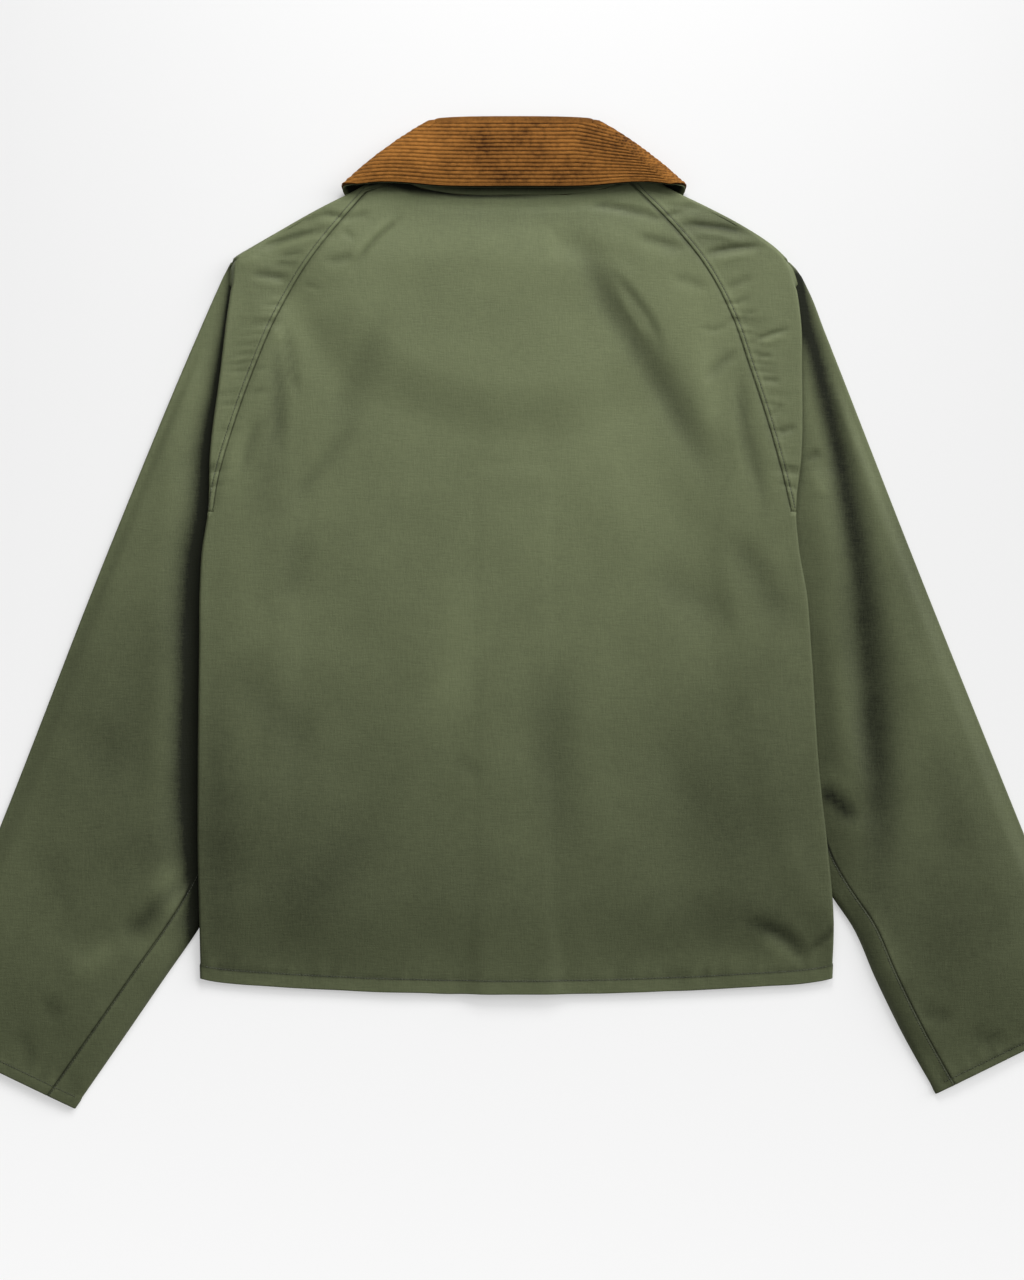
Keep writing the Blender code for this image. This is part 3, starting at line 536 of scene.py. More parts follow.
def frontRows(side):
    armpit = body["armpit"]
    lap = [-out for out in columns(side, armpit, False)[1:3][::-1]]

    def height(_, out, up):
        return frontHeight(side, out, up)

    lower = []
    for up in rowUps(panel["rowStep"]["front"]):
        outs = columns(side, up, False)
        outs[-1] -= cloth["seamGap"]
        lower.append([bodyPoint(side, out, up, height, 0.0) for out in (lap + outs)[::-1]])
    whole = columns(side, armpit, False)
    whole[-1] -= cloth["seamGap"]
    seam = along(frontRaglan, side, armpit) - cloth["seamGap"]
    outs = [out for out in whole if out < seam - 0.006] + [seam]
    beyond = [out for out in whole if out > seam + 0.0005]
    joined = lap + outs + beyond  # the armpit's row: as many columns as those below, and one at the seam
    missing = len(lap + whole) - len(joined)
    joined += [beyond[0] + (beyond[1] - beyond[0]) * (k + 1) / (missing + 1) for k in range(missing)]
    lower[-1] = [bodyPoint(side, out, armpit, height, 0.0) for out in sorted(joined, reverse=True)]
    first = [bodyPoint(side, out, armpit, height, 0.0) for out in (lap + outs)[::-1]]
    last, mark = len(stationRows) - 1, collar["frontMark"]
    neck = [neckPoint(side, n) for n in spread(last, 11, len(outs) - 2) + [(11 + mark) / 2, mark]]
    lapUp = flat(neck[0])[1]
    neck = [place(side, out, lapUp, height(side, out, lapUp)) for out in lap] + neck
    if side == "right":
        for point in neck:
            point.z = max(point.z, height(side, *flat(point)))
    ends = [(sides[side] * flat(p)[0], flat(p)[1]) for p in neck[::-1]]

    def edges(up):
        share = (up - armpit) / (body["neckRow"] - armpit)
        return (
            (along(frontRaglan, side, up) - cloth["seamGap"], frontSeamUp(up)),
            (lap[0], armpit + (ends[-1][1] - armpit) * share),
        )

    def corner(out, up):
        return (*place(side, out, up, height(side, out, up)), 0.0)

    starts = [(out, armpit) for out in (lap + outs)[::-1]]
    ups = spread(armpit, body["lastRow"], panel["raglanRows"]["front"])
    fan = fanRows(starts, ends, edges, corner, ups[1:])
    return lower, [first] + fan + [[(*p, 0.0) for p in neck[::-1]]]


def frontSeamUp(up):  # the front raglan seam ends lower than the back one
    share = (up - body["armpit"]) / (body["neckRow"] - body["armpit"])
    return body["armpit"] + (panel["frontSeamTop"] - body["armpit"]) * share


# The sleeves: from the raglan seam over the body's edge, in under it to the inner fold, out again as the
# cloth that shows, and back underneath. The counts are the columns of each stretch.
sleeve = {
    "topCount": 30,
    "foldCount": 7,
    "pleatCount": 4,
    "turnCount": 5,
    "upperCount": 44,
    "underCount": 5,
    "underRows": (0.003, 0.007, 0.011),  # columns inside the fold, on the way to the front raglan seam
    "openUps": (0.574, 0.580, 0.586, 0.591),  # rows in which the pleat opens, up to the shoulder's tip
    "openFold": (0.0022, 0.0030),  # there the cloth comes down over the body's edge, this far in and out
    "widest": 2.3,  # the most that a slanting fold is widened
    "tubeRows": 84,
    "tubeTop": 0.32,  # out, the middle of the sleeve at the armpit
    "hemRows": (0.0150, 0.0125, 0.0112, 0.0100, 0.0085, 0.0060, 0.0030, 0.0012, 0.0),  # above the cuff's edge
    "hemBand": 0.0098,
    "hemRaise": 0.0006,
    "seamFromFold": {"left": 0.0230, "right": 0.0150},  # the underarm seam, on the cloth that shows
    "nearSeam": (0.0, 0.0006, 0.0013, 0.0022, 0.0030, 0.0036, 0.0043, 0.0054, 0.0068, 0.0085),
    "nearUnderarm": (-0.006, -0.0035, -0.0022, -0.0014, -0.0008, -0.0004, 0.0, 0.0004, 0.0008, 0.0014, 0.0022,
                     0.0035, 0.006),
}


def upperColumns(side, first, last):  # across the sleeve's upper cloth, close together at the underarm seam
    room = min(1.0, (last - first) / 0.055)
    seam = sleeve["seamFromFold"][side]
    near = [first + room * d for d in (0.0, 0.004, 0.008) + tuple(seam + s for s in sleeve["nearUnderarm"])]
    return near + spread(near[-1], last, sleeve["upperCount"] - len(near) + 1)[1:]


def topColumns(side, seam, start, up):  # from the raglan seam outwards, close together at its stitches
    slope = (along(backRaglan, side, up + 0.002) - along(backRaglan, side, up - 0.002)) / 0.004
    stretch = math.hypot(1, slope)
    room = min(1.0, (start - seam) / (0.012 * stretch))
    near = [seam + d * stretch * room for d in sleeve["nearSeam"]]
    return near + spread(near[-1], start, sleeve["topCount"] - len(near) + 1)[1:]


def pleatPoints(side, up, seam, edge, inner, last, offset):  # over the body's edge, in under it and out again
    high = topHeight(side, edge, up)
    start = edge - (high - layer(2)) / 2
    points = [(out, topHeight(side, out, up), offset, 1.0) for out in topColumns(side, seam, start, up)]
    for out, height in turned(start, layer(2), high, sleeve["foldCount"], rising=False):
        points.append((out, height, offset, smooth((height - layer(2)) / (high - layer(2)))))
    points += [(out, layer(2), offset, 0.0) for out in spread(start, inner, sleeve["pleatCount"])]
    turn = turned(inner, layer(1), layer(2), sleeve["turnCount"], outward=-1, rising=False)
    points += [(*point, offset, 0.0) for point in turn]
    for out in upperColumns(side, inner, last):
        shown = out - edge - cloth["thickness"] / 2
        points.append((out, sleeveTopHeight(side, out, up, shown), 0.0, shownLift(shown, last - out)))
    return points + outerTurn(last)


def openPoints(side, up, seam, edge, last):  # where the pleat opens, down from the body's edge to the sleeve
    high = topHeight(side, edge, up)
    inside, outside = sleeve["openFold"]
    start, foot = edge - inside, min(edge + outside, last - 0.0006)
    points = [(out, topHeight(side, out, up), 0.0, 1.0) for out in topColumns(side, seam, start, up)]
    steps = sleeve["foldCount"] + sleeve["pleatCount"] + sleeve["turnCount"]
    for k in range(1, steps + 1):
        t = k / (steps + 1)
        points.append((start + (foot - start) * t, high + (layer(1) - high) * smooth(t), 0.0, smooth(1 - t)))
    points += [(out, layer(1), 0.0, 0.0) for out in spread(foot, last, sleeve["upperCount"])]
    return points + outerTurn(last)


def outerTurn(last):
    return [(*p, 0.0, 0.0) for p in turned(last, layer(0), layer(1), sleeve["turnCount"], rising=False)]


def shoulderPoints(side, up, seam, outer, last):  # above the pleat: one fold at the shoulder's outer edge
    lean = (along(outerEdge, side, up + 0.004) - along(outerEdge, side, up - 0.002)) / 0.006
    for _ in range(3):  # the fold's width hangs on the heights where it starts
        high, low = topHeight(side, last, up), sleeveBottomHeight(side, last, up)
        radius = (high - low) / 2
        wide = radius * min(sleeve["widest"], math.hypot(1, lean))
        last = outer - wide
    points = [(out, topHeight(side, out, up), 0.0, 1.0) for out in topColumns(side, seam, last, up)]
    steps = sleeve["foldCount"] + sleeve["pleatCount"] + 2 * sleeve["turnCount"] + sleeve["upperCount"]
    for out, height in turned(0.0, low, high, steps, rising=False):
        points.append((last + out / radius * wide, height, 0.0, smooth((height - low) / (high - low))))
    return points, last


def raglanRow(side, up):
    atArmpit = up == body["armpit"]
    offset = cloth["seamGap"] / 3 if atArmpit else 0.0
    seam = (raglanFoot(side, up) if atArmpit else along(backRaglan, side, up)) + 1.5 * cloth["seamGap"]
    outer = along(outerEdge, side, up) - cloth["thickness"] / 2
    edge = along(bodyEdge, side, up) - cloth["thickness"] / 2
    inner = along(innerFold, side, up) + cloth["pitch"] / 2
    last = outer - cloth["pitch"] / 2
    if up <= body["pleatTop"]:
        points = pleatPoints(side, up, seam, edge, inner, last, offset)
    elif up < body["shoulderTip"]:
        points = openPoints(side, up, seam, edge, last)
    else:
        points, last = shoulderPoints(side, up, seam, outer, last)
        inner = last - 0.002
    row = [(*place(side, out, up + extra, height), lift) for out, height, extra, lift in points]
    seamOut, seamUp = along(frontRaglan, side, up) + cloth["seamGap"], frontSeamUp(up)
    under = spread(last, inner, sleeve["underCount"]) + [inner - d for d in sleeve["underRows"]] + [seamOut]
    if under[-2] < seamOut + 0.001:
        under[-4:-1] = [inner + (seamOut - inner) * t for t in (0.25, 0.5, 0.75)]
    for k, out in enumerate(under):
        share = smooth((inner - out) / (inner - seamOut)) if out < inner else 0.0
        rowUp = up + (seamUp - up) * share + (offset if k >= sleeve["underCount"] else 0.0)
        row.append((*place(side, out, rowUp, sleeveBottomHeight(side, out, rowUp)), 0.0))
    return row


def shownLift(shown, fromOuter):  # creases fade under the body's edge and at the outer fold
    return -smooth((shown - 0.001) / 0.012) * smooth(fromOuter / 0.010)


def mixRows(first, second, share):
    return [tuple(a + (b - a) * share for a, b in zip(p, q)) for p, q in zip(first, second)]


def neckRow(side):
    turns = [row[3] for row in stationRows[3:10]]
    count = sleeve["foldCount"] + sleeve["pleatCount"] + 2 * sleeve["turnCount"] + sleeve["upperCount"]
    over = [3 + float(np.interp(k / (count + 1), turns, range(7))) for k in range(1, count + 1)]
    first = 3 + float(np.interp(0.5 / (count + 1), turns, range(7)))
    numbers = spread(collar["backMark"] + 0.04, first + 0.04, sleeve["topCount"])
    numbers += [max(n, first + 0.05) for n in over]
    numbers += spread(over[-1] + 0.01, collar["frontMark"] - 0.03, 9)
    return [(*neckPoint(side, n), 0.0) for n in numbers]


def cuffEnds(side, share):  # the sleeve's inner fold and outer edge, part of the way from armpit to cuff
    ends = []
    for table, end in ((innerFold, "inner"), (outerEdge, "outer")):
        up = body["armpit"] + (cuff[side][end][1] - body["armpit"]) * share
        ends.append(Vector((along(table, side, up), up)))
    return ends


def tubeRows(side):
    radius = cloth["pitch"] / 2
    outerOut, outerUp = cuff[side]["outer"]
    length = math.hypot(outerOut - sleeve["tubeTop"], body["armpit"] - outerUp)
    hem = [1 - d / length for d in sleeve["hemRows"]]
    rows = []
    for share in spread(0.0, hem[0], sleeve["tubeRows"]) + hem[1:]:
        inner, outer = cuffEnds(side, share)
        outer.x -= cloth["thickness"] / 2
        across = (outer - inner).normalized()
        first, last = radius, (outer - inner).length - radius
        shownFrom = emerges(side, inner, across, last)
        points = [(first, layer(0), 0.0)]
        points += [(*p, 0.0) for p in turned(first, layer(0), layer(1), sleeve["turnCount"], outward=-1)]
        for d in upperColumns(side, first, last):
            at = inner + across * d
            shown = d - shownFrom if shownFrom > 0 else d + 0.006 - radius
            points.append((d, sleeveTopHeight(side, at.x, at.y, shown), shownLift(shown, last - d)))
        points += [(*p, 0.0) for p in turned(last, layer(0), layer(1), sleeve["turnCount"], rising=False)]
        points += [(d, layer(0), 0.0) for d in spread(last, first, sleeve["underCount"])]
        rows.append([(*place(side, *(inner + across * d), h), lift) for d, h, lift in points])
    return rows


def emerges(side, inner, across, last):  # how far along a sleeve's row it comes out from under the body
    def covered(d):
        at = inner + across * d
        return at.x < along(bodyEdge, side, at.y)

    if inner.y < 0.010 or not covered(0.0):
        return 0.0
    low, high = 0.0, last
    for _ in range(40):
        middle = (low + high) / 2
        low, high = (middle, high) if covered(middle) else (low, middle)
    return low


def sleeveRows(side):
    pleatTop, tip = body["pleatTop"], body["shoulderTip"]
    keys = [raglanRow(side, up) for up in (pleatTop, *sleeve["openUps"], tip)]
    rows = [raglanRow(side, up) for up in raglanUps() if up < pleatTop - 0.002]
    for low, high in zip(keys, keys[1:]):
        rows += [low, mixRows(low, high, 0.5)]
    rows.append(keys[-1])
    rows += [raglanRow(side, up) for up in raglanUps() if up > tip + 0.002]
    rows += toNeck(rows[-1], neckRow(side), panel["neckRows"])
    return rows, tubeRows(side)[::-1]


def softened(path):  # the same path with rounded corners
    points = [np.array(p, float) for p in path]
    for _ in range(2):
        cut = [points[0]]
        for a, b in zip(points, points[1:]):
            cut += [a * 0.75 + b * 0.25, a * 0.25 + b * 0.75]
        points = cut + [points[-1]]
    return points


def crease(height, wide, *path, wideEnd=None, heightEnd=None, fade=(0.35, 0.35)):
    return {
        "path": softened(path),
        "height": (height, height if heightEnd is None else heightEnd),
        "wide": (wide, wideEnd or wide),
        "fade": fade,
    }


# Creases, placed from the photo: height, widths to the path's left and right, and the path's points
# as (right, up), all in mm. A trough has a height below 0. The far end may have its own widths and height,
# and fade is the share of the path over which each end runs out.
topCreases = (
    crease(-2.2, (4, 2.4), (-148, 618), (-173, 613), (-193, 607), (-211, 602)),
    crease(0.8, (3, 3), (-155, 611), (-176, 607), (-197, 600)),
    crease(-1, (3, 2.2), (-140, 631), (-158, 628), (-173, 621)),
    crease(-0.9, (2.5, 2), (-166, 600), (-179, 597), (-192, 596)),
    crease(-1, (2.5, 2), (-171, 588), (-186, 590), (-197, 589)),
    crease(-2.2, (3.2, 2.2), (-178, 577), (-197, 581), (-216, 582)),
    crease(0.7, (3, 3), (-182, 571), (-199, 575), (-213, 575)),
    crease(0.7, (4, 4), (-203, 595), (-216, 592), (-224, 587)),
    crease(-1, (2.5, 3), (-138, 625), (-128, 628), (-115, 631)),
    crease(-0.9, (2.5, 3), (-140, 618), (-134, 614), (-128, 608)),
    crease(-1.3, (4, 5), (-155, 590), (-142, 592), (-126, 597)),
    crease(-1.5, (2, 2.6), (-86, 632), (-102, 617), (-116, 604), (-134, 579)),
    crease(0.6, (3, 4), (-92, 633), (-111, 617), (-124, 603), (-139, 583)),
    crease(-0.6, (2, 2), (-171, 575), (-163, 571), (-155, 568)),
    crease(-1.5, (3, 3.5), (-186, 543), (-182, 527), (-178, 501), (-174, 479)),
    crease(1, (3, 3), (-192, 540), (-190, 533), (-189, 525)),
    crease(-2, (5.5, 6), (-192, 530), (-190, 504), (-189, 480), (-190, 451), (-191, 427)),
    crease(-1, (2.5, 3), (-213, 482), (-206, 486), (-199, 491)),
    crease(-0.6, (2.5, 2.5), (-205, 503), (-201, 508)),
    crease(-1.5, (4, 4), (-203, 469), (-210, 451), (-215, 432), (-220, 414)),
    crease(-1, (8, 6), (-124, 468), (-148, 436), (-169, 410), (-184, 390)),
    crease(-1.1, (14, 12), (-98, 561), (-118, 519), (-136, 474), (-147, 440)),
    crease(-1, (12, 10), (-173, 383), (-176, 351), (-184, 311)),
    crease(-2, (2.6, 4), (37, 642), (79, 637), (113, 629), (131, 617)),
    crease(-1.7, (4, 6), (94, 613), (118, 607), (140, 600)),
    crease(-0.9, (4, 5), (124, 579), (142, 575), (160, 568)),
    crease(-0.9, (2.2, 2.2), (148, 541), (161, 535), (168, 538), (175, 547)),
    crease(-1.5, (3.4, 4), (152, 493), (165, 509), (182, 522)),
    crease(-2.3, (5, 4.5), (183, 519), (182, 481), (188, 444), (198, 411), (205, 375)),
    crease(-3, (13, 12), (27, 635), (60, 596), (77, 557), (102, 521), (129, 476), (146, 441), (168, 391)),
    crease(-1.4, (4, 4), (76, 587), (97, 562), (114, 537), (121, 512)),
    crease(0.9, (3, 3), (81, 571), (95, 546), (110, 524)),
    crease(-1.5, (10, 14), (168, 383), (189, 354), (211, 319), (229, 286)),
    crease(0.9, (10, 10), (150, 537), (153, 480), (163, 438)),
    crease(-1, (14, 16), (102, 351), (150, 319), (184, 286)),
    crease(-1, (2.6, 2.6), (118, 637), (134, 637), (152, 634)),
    crease(-2.2, (2.4, 3.6), (132, 622), (152, 621), (171, 619), (192, 613)),
    crease(0.8, (3, 3), (142, 615), (166, 613), (189, 606)),
    crease(-2.2, (2.4, 3.2), (150, 596), (166, 601), (186, 604), (205, 604)),
    crease(0.7, (3, 3), (155, 589), (173, 595), (199, 598)),
    crease(-1.3, (2.6, 3), (169, 568), (181, 575), (194, 579)),
    crease(-0.8, (2.2, 2.2), (176, 557), (183, 560), (192, 563)),
    crease(-0.7, (2.2, 2.2), (182, 545), (187, 549), (197, 552)),
    crease(-1.3, (2, 2.6), (190, 525), (200, 531), (213, 535), (225, 539)),
    crease(0.6, (2.6, 2.6), (195, 522), (207, 528), (221, 532)),
    crease(-0.7, (2, 2), (194, 512), (200, 515), (208, 515)),
    crease(-1, (2.6, 2.6), (197, 495), (205, 496), (216, 495)),
    crease(-1.1, (3, 3), (211, 453), (220, 456), (229, 458)),
    crease(-0.7, (3, 3), (202, 464), (210, 469), (218, 477)),
    crease(-1.9, (3, 3), (259, 54), (251, 45), (240, 37), (232, 33), fade=(0.1, 0.5)),
    crease(-2.4, (6, 5), (176, 60), (198, 56), (214, 50), (225, 41), (233, 31), (241, 24),
           fade=(0.5, 0.25)),
    crease(0.8, (6, 6), (196, 44), (212, 36), (222, 26)),
    crease(-0.7, (20, 16), (-108, 157), (-148, 101), (-192, 48)),
    crease(-1.4, (22, 20), (37, 286), (27, 222), (34, 157), (53, 93)),
    crease(1.1, (24, 20), (-36, 351), (-52, 270), (-60, 190)),
    crease(-1, (16, 18), (-229, 286), (-203, 238), (-148, 190)),
    crease(-0.7, (7, 7), (-52, 190), (-36, 185), (-24, 174)),
    crease(-0.5, (18, 20), (102, 206), (150, 157), (182, 101)),
)
sleeveCreases = {
    "left": (
        crease(-2.2, (6, 9), (-320, 52), (-306, 55), (-294, 65), (-284, 76)),
        crease(-1.2, (7, 6), (-382, -6), (-371, -12), (-362, -19)),
        crease(-1.5, (7, 6), (-257, 107), (-268, 90), (-286, 75), (-303, 67)),
        crease(1.2, (6, 6), (-257, 93), (-270, 78), (-286, 64)),
        crease(0.8, (9, 8), (-366, 12), (-342, 28), (-318, 32)),
        crease(-0.9, (6, 6), (-399, -28), (-391, -44), (-394, -57)),
        crease(-0.5, (22, 18), (-294, 351), (-302, 286), (-318, 206), (-334, 133)),
        crease(-0.5, (16, 14), (-391, 125), (-366, 93), (-347, 52)),
        crease(0.7, (10, 9), (-326, 52), (-337, 31), (-350, 4)),
        crease(0.8, (12, 10), (-273, 319), (-281, 222), (-289, 133)),
    ),
    "right": (
        crease(-7.2, (6, 7), (226, 590), (232, 561), (243, 520), (253, 480), (262, 440), (270, 400),
               (278, 359), (283, 319), (287, 270), (290, 222), (293, 174), (296, 125), (302, 77),
               wideEnd=(22, 17), heightEnd=-2.2, fade=(0.03, 0.3)),
        crease(-1.6, (4, 4), (234, 433), (240, 435), (249, 438)),
        crease(0.9, (5, 6), (236, 424), (244, 416), (250, 399)),
        crease(-4, (6, 6), (244, 171), (261, 157), (279, 137)),
        crease(1, (6, 5), (247, 182), (258, 174), (273, 161)),
        crease(1, (9, 9), (240, 351), (252, 303), (261, 238), (268, 182)),
        crease(-1.6, (7, 6), (366, -28), (382, -34), (400, -31)),
        crease(-1.4, (6, 6), (322, -8), (340, -16), (358, -20)),
        crease(0.9, (4, 4), (372, -36), (384, -28), (400, -25)),
        crease(0.8, (7, 8), (284, 77), (299, 36), (313, -4)),
        crease(-1, (26, 22), (336, 222), (352, 157), (372, 93)),
        crease(0.8, (4, 4), (231, 537), (236, 496), (237, 456)),
    ),
}


# broad soft patches of painted light and shade: right, up and widths both ways in mm, and how much paler
paintedLightAndShade = {
    "top": (
        (-181, 117, 85, 110, -1.6),
        (185, 150, 75, 120, -1.4),
        (0, 75, 150, 40, -0.7),
        (70, 420, 110, 130, 1.1),
        (190, 28, 60, 9, 1.2),
        (166, 617, 40, 22, -2.6),
        (142, 545, 28, 40, 1.3),
        (-240, 160, 18, 120, -1.6),
        (-11, 632, 110, 14, -1.2),
        (-197, 420, 16, 70, -1.0),
        (-197, 577, 28, 22, -1.0),
        (-228, 440, 14, 30, 1.2),
        (-172, 560, 16, 24, 0.9),
        (190, 62, 50, 16, -0.7),
    ),
    "left": (
        (-290, 113, 24, 30, -1.4),
        (-330, 200, 70, 150, -1.6),
        (-276, 93, 18, 15, 2.2),
        (-300, 40, 28, 10, 0.8),
    ),
    "right": (
        (350, 60, 60, 80, -1.4),
        (229, 570, 5, 26, -3.0),
        (294, 140, 16, 90, -1.8),
        (264, 290, 14, 80, -1.2),
        (318, 350, 26, 85, -1.4),
    ),
}


# painted light and shade: the patches summed at each point
def paintedLightAndShadeAt(right, up, patches):
    total = np.zeros(len(right))
    for x, y, wideX, wideY, paler in patches:
        total += paler * np.exp(-(((right - x) / wideX) ** 2) - ((up - y) / wideY) ** 2)
    return total


def measure(path, right, up):  # distance from the path, + on its left, and how far along it
    path = np.array(path, float)
    steps = np.linalg.norm(np.diff(path, axis=0), axis=1)
    run = 0.0
    nearest, signed, walked = np.full(len(right), 1e9), np.ones(len(right)), np.zeros(len(right))
    for (ax, ay), (bx, by), length in zip(path, path[1:], steps):
        ux, uy = (bx - ax) / length, (by - ay) / length
        t = np.clip((right - ax) * ux + (up - ay) * uy, 0, length)
        dx, dy = right - (ax + ux * t), up - (ay + uy * t)
        distance = np.hypot(dx, dy)
        closer = distance < nearest
        nearest = np.where(closer, distance, nearest)
        signed = np.where(closer, np.where(ux * dy - uy * dx >= 0, 1.0, -1.0), signed)
        walked = np.where(closer, run + t, walked)
        run += length
    return nearest * signed, walked, run


def offLine(path, right, up):
    return np.abs(measure(path, right, up)[0])


def creaseShift(right, up, creases):
    total = np.zeros(len(right))
    for line in creases:
        path = line["path"]
        (near0, near1), (far0, far1) = line["wide"]
        reach = 3 * max(near0, near1, far0, far1)
        low, high = np.min(path, axis=0) - reach, np.max(path, axis=0) + reach
        near = np.nonzero((right > low[0]) & (right < high[0]) & (up > low[1]) & (up < high[1]))[0]
        if not len(near):
            continue
        signed, walked, whole = measure(path, right[near], up[near])
        share = walked / whole
        wide = np.where(signed > 0, near0 + (far0 - near0) * share, near1 + (far1 - near1) * share)
        head, tail = line["fade"]
        start, end = line["height"]
        fade = rise(share, 0, head) * rise(1 - share, 0, tail)
        total[near] += (start + (end - start) * share) * fade * np.exp(-((signed / wide) ** 2))
    return total


def waves(right, up, seed, sizeX, sizeY=None):
    sizeY = sizeY or sizeX
    return np.array([noise.noise(Vector((x / sizeX, y / sizeY, seed))) for x, y in zip(right, up)])


def rise(values, start, width):
    t = np.clip((values - start) / width, 0, 1)
    return t * t * (3 - 2 * t)


def plateau(values, start, end):  # 1 between two slopes, 0 outside them
    return rise(values, *start) * (1 - rise(values, *end))


def bump(values, middle, width):
    return np.exp(-(((values - middle) / width) ** 2))


def tablePath(table, side, low, high, count):  # in mm
    return [(sides[side] * along(table, side, up) * 1000, up * 1000) for up in spread(low, high, count)]


outline, seamPath, outerPath = {}, {}, {}
for side in sides:
    outline[side] = tablePath(bodyEdge, side, body["hem"], body["shoulderTip"], 60)
    outline[side] += tablePath(outerEdge, side, 0.600, body["neckRow"], 12)
    seamPath[side] = tablePath(backRaglan, side, body["armpit"], 0.664, 60)
    outerPath[side] = tablePath(outerEdge, side, cuff[side]["outer"][1], body["shoulderTip"], 60)


def middleSurface(grids, shift, flip):  # the rows as one surface, moved by its creases; and their depth
    middle = bmesh.new()
    liftLayer = middle.verts.layers.float.new("lift")
    for rows in grids:
        made = []
        for row in rows:
            made.append([middle.verts.new(point[:3]) for point in row])
            for vert, point in zip(made[-1], row):
                vert[liftLayer] = point[3]
        for low, high in zip(made, made[1:]):
            for k in range(len(low) - 1):
                middle.faces.new((low[k], low[k + 1], high[k + 1], high[k]))
    bmesh.ops.remove_doubles(middle, verts=middle.verts, dist=1e-6)
    if flip:
        bmesh.ops.reverse_faces(middle, faces=middle.faces)
    middle.verts.index_update()
    points = np.array([v.co for v in middle.verts])
    moved, folded = shift(points, np.array([v[liftLayer] for v in middle.verts]))
    for vert, z in zip(middle.verts, points[:, 2] + moved):
        vert.co.z = z
    middle.normal_update()
    return middle, folded


def outwardAt(vert):  # at the cloth's edge, the way out of the cloth
    away = Vector()
    for edge in vert.link_edges:
        if edge.is_boundary:
            face = edge.link_faces[0]
            first, second = (v.co for v in edge.verts)
            side = (second - first).normalized().cross(face.normal)
            away += side if side.dot((first + second) / 2 - face.calc_center_median()) > 0 else -side
    return away.normalized()


wall = {"edgeSteps": 6, "edge": 0.0004, "armpitShare": 0.2, "armpitReach": 0.0008}  # its rounded edge


def clothMesh(name, grids, thickness, shift, raised=None, flip=False):  # a wall round the middle surface
    middle, folded = middleSurface(grids, shift, flip)
    solid = bmesh.new()
    foldLayer = solid.verts.layers.float.new("fold")
    pileLayer = solid.verts.layers.float.new("pile")
    half, steps = thickness / 2, wall["edgeSteps"]
    outer, inner, edges = [], [], {}
    for vert in middle.verts:
        more = raised(vert.co) if raised else 0.0
        if vert.is_boundary:
            atArmpit = abs(flat(vert.co)[1] - body["armpit"]) < wall["armpitReach"]
            turnIn = wall["edge"] * (wall["armpitShare"] if atArmpit else 1.0)
            pull = outwardAt(vert)
            ring = []
            for k in range(steps + 1):
                angle = math.pi * k / steps
                up = math.cos(angle) * (half + more if k < steps / 2 else half)
                pulled = pull * turnIn * (math.sin(angle) - 1)
                ring.append(solid.verts.new(vert.co + vert.normal * up + pulled))
            edges[vert.index] = ring
            outer.append(ring[0])
            inner.append(ring[-1])
        else:
            outer.append(solid.verts.new(vert.co + vert.normal * (half + more)))
            inner.append(solid.verts.new(vert.co - vert.normal * half))
            inner[-1][foldLayer] = folded[vert.index]
        outer[-1][foldLayer] = folded[vert.index]
        outer[-1][pileLayer] = more * 1000
    for face in middle.faces:
        corners = [v.index for v in face.verts]
        solid.faces.new([outer[k] for k in corners])
        solid.faces.new([inner[k] for k in reversed(corners)])
        for loop in face.loops:
            if loop.edge.is_boundary:
                a, b = edges[loop.vert.index], edges[loop.link_loop_next.vert.index]
                for k in range(steps):
                    solid.faces.new((b[k], a[k], a[k + 1], b[k + 1]))
    middle.free()
    return addPiece(name, solid)


def addPiece(name, bm):
    mesh = bpy.data.meshes.new(name)
    bm.to_mesh(mesh)
    bm.free()
    mesh.shade_smooth()
    piece = bpy.data.objects.new(name, mesh)
    bpy.context.scene.collection.objects.link(piece)
    return piece


def ease(z, low, high):  # softly holds the shift between two limits
    return np.where(z < 0, low * np.tanh(z / np.minimum(low, -1e-6)), high * np.tanh(z / high))


# mm that the cloth stands off: the body's middle and edge, the sleeves, and the most it may sink and rise
plump = {"body": 4.4, "edge": 3.4, "sleeve": 4.2, "spare": 0.4, "most": 5.0, "sleeveMost": 6.0}
plumpSlopes = {  # where each starts, and over how many mm it runs
    "inward": (2, 34),
    "shoulder": (588, 58),
    "hem": (8, 70),
    "cuff": (8, 80),
    "outerFold": (0, 14),
    "neck": (632, 18),
    "flatShare": 0.15,
}
# the cloth's broad unevenness: height, seed and size in mm, and how much of it is painted into the colour as
# shade and light
broadWaves = {
    "body": ((1.1, 3.1, 95), (0.45, 7.7, 38)),
    "sleeve": ((0.9, 11.3, 80), (0.4, 5.2, 30)),
    "tone": 0.2,
}
# The raglan seam, in mm: its allowance lies under the sleeve and is stitched down. Waves have a seed and
# their sizes along the seam and across it.
raglanSeam = {
    "allowance": 0.4,
    "allowanceFrom": (0.3, 0.9),
    "allowanceTo": (4.6, 2.0),
    "stitchLine": 3.5,
    "dimple": -0.35,
    "dimpleWide": 0.9,
    # painted shade along the stitch line and in the seam's groove
    "stitchTone": -0.8,
    "stitchToneWide": 0.8,
    "groove": -0.6,
    "grooveWide": 0.9,
    "grooveTone": -4.5,
    "ends": 6,
    "puckerReach": 45,
    "puckerFrom": 3,
    "puckerLength": (8, 9),  # the least, and how much the waves add to it
    "puckerStrength": (0.6, 1.5, 0.15),  # plain, from the waves, and the least
    "puckerOnBody": (0.5, 5),  # how much shows on the body's side, and how far
    "puckerTop": 0.15,
    "puckerDeep": 2.2,
    "puckerLean": 0.5,
    "puckerWaves": (2.4, 5.2, 20),
    "strengthWaves": (12.2, 26, 26),  # stronger in some places and weaker in others
    "lengthWaves": (6.6, 14, 20),  # and longer in some
}


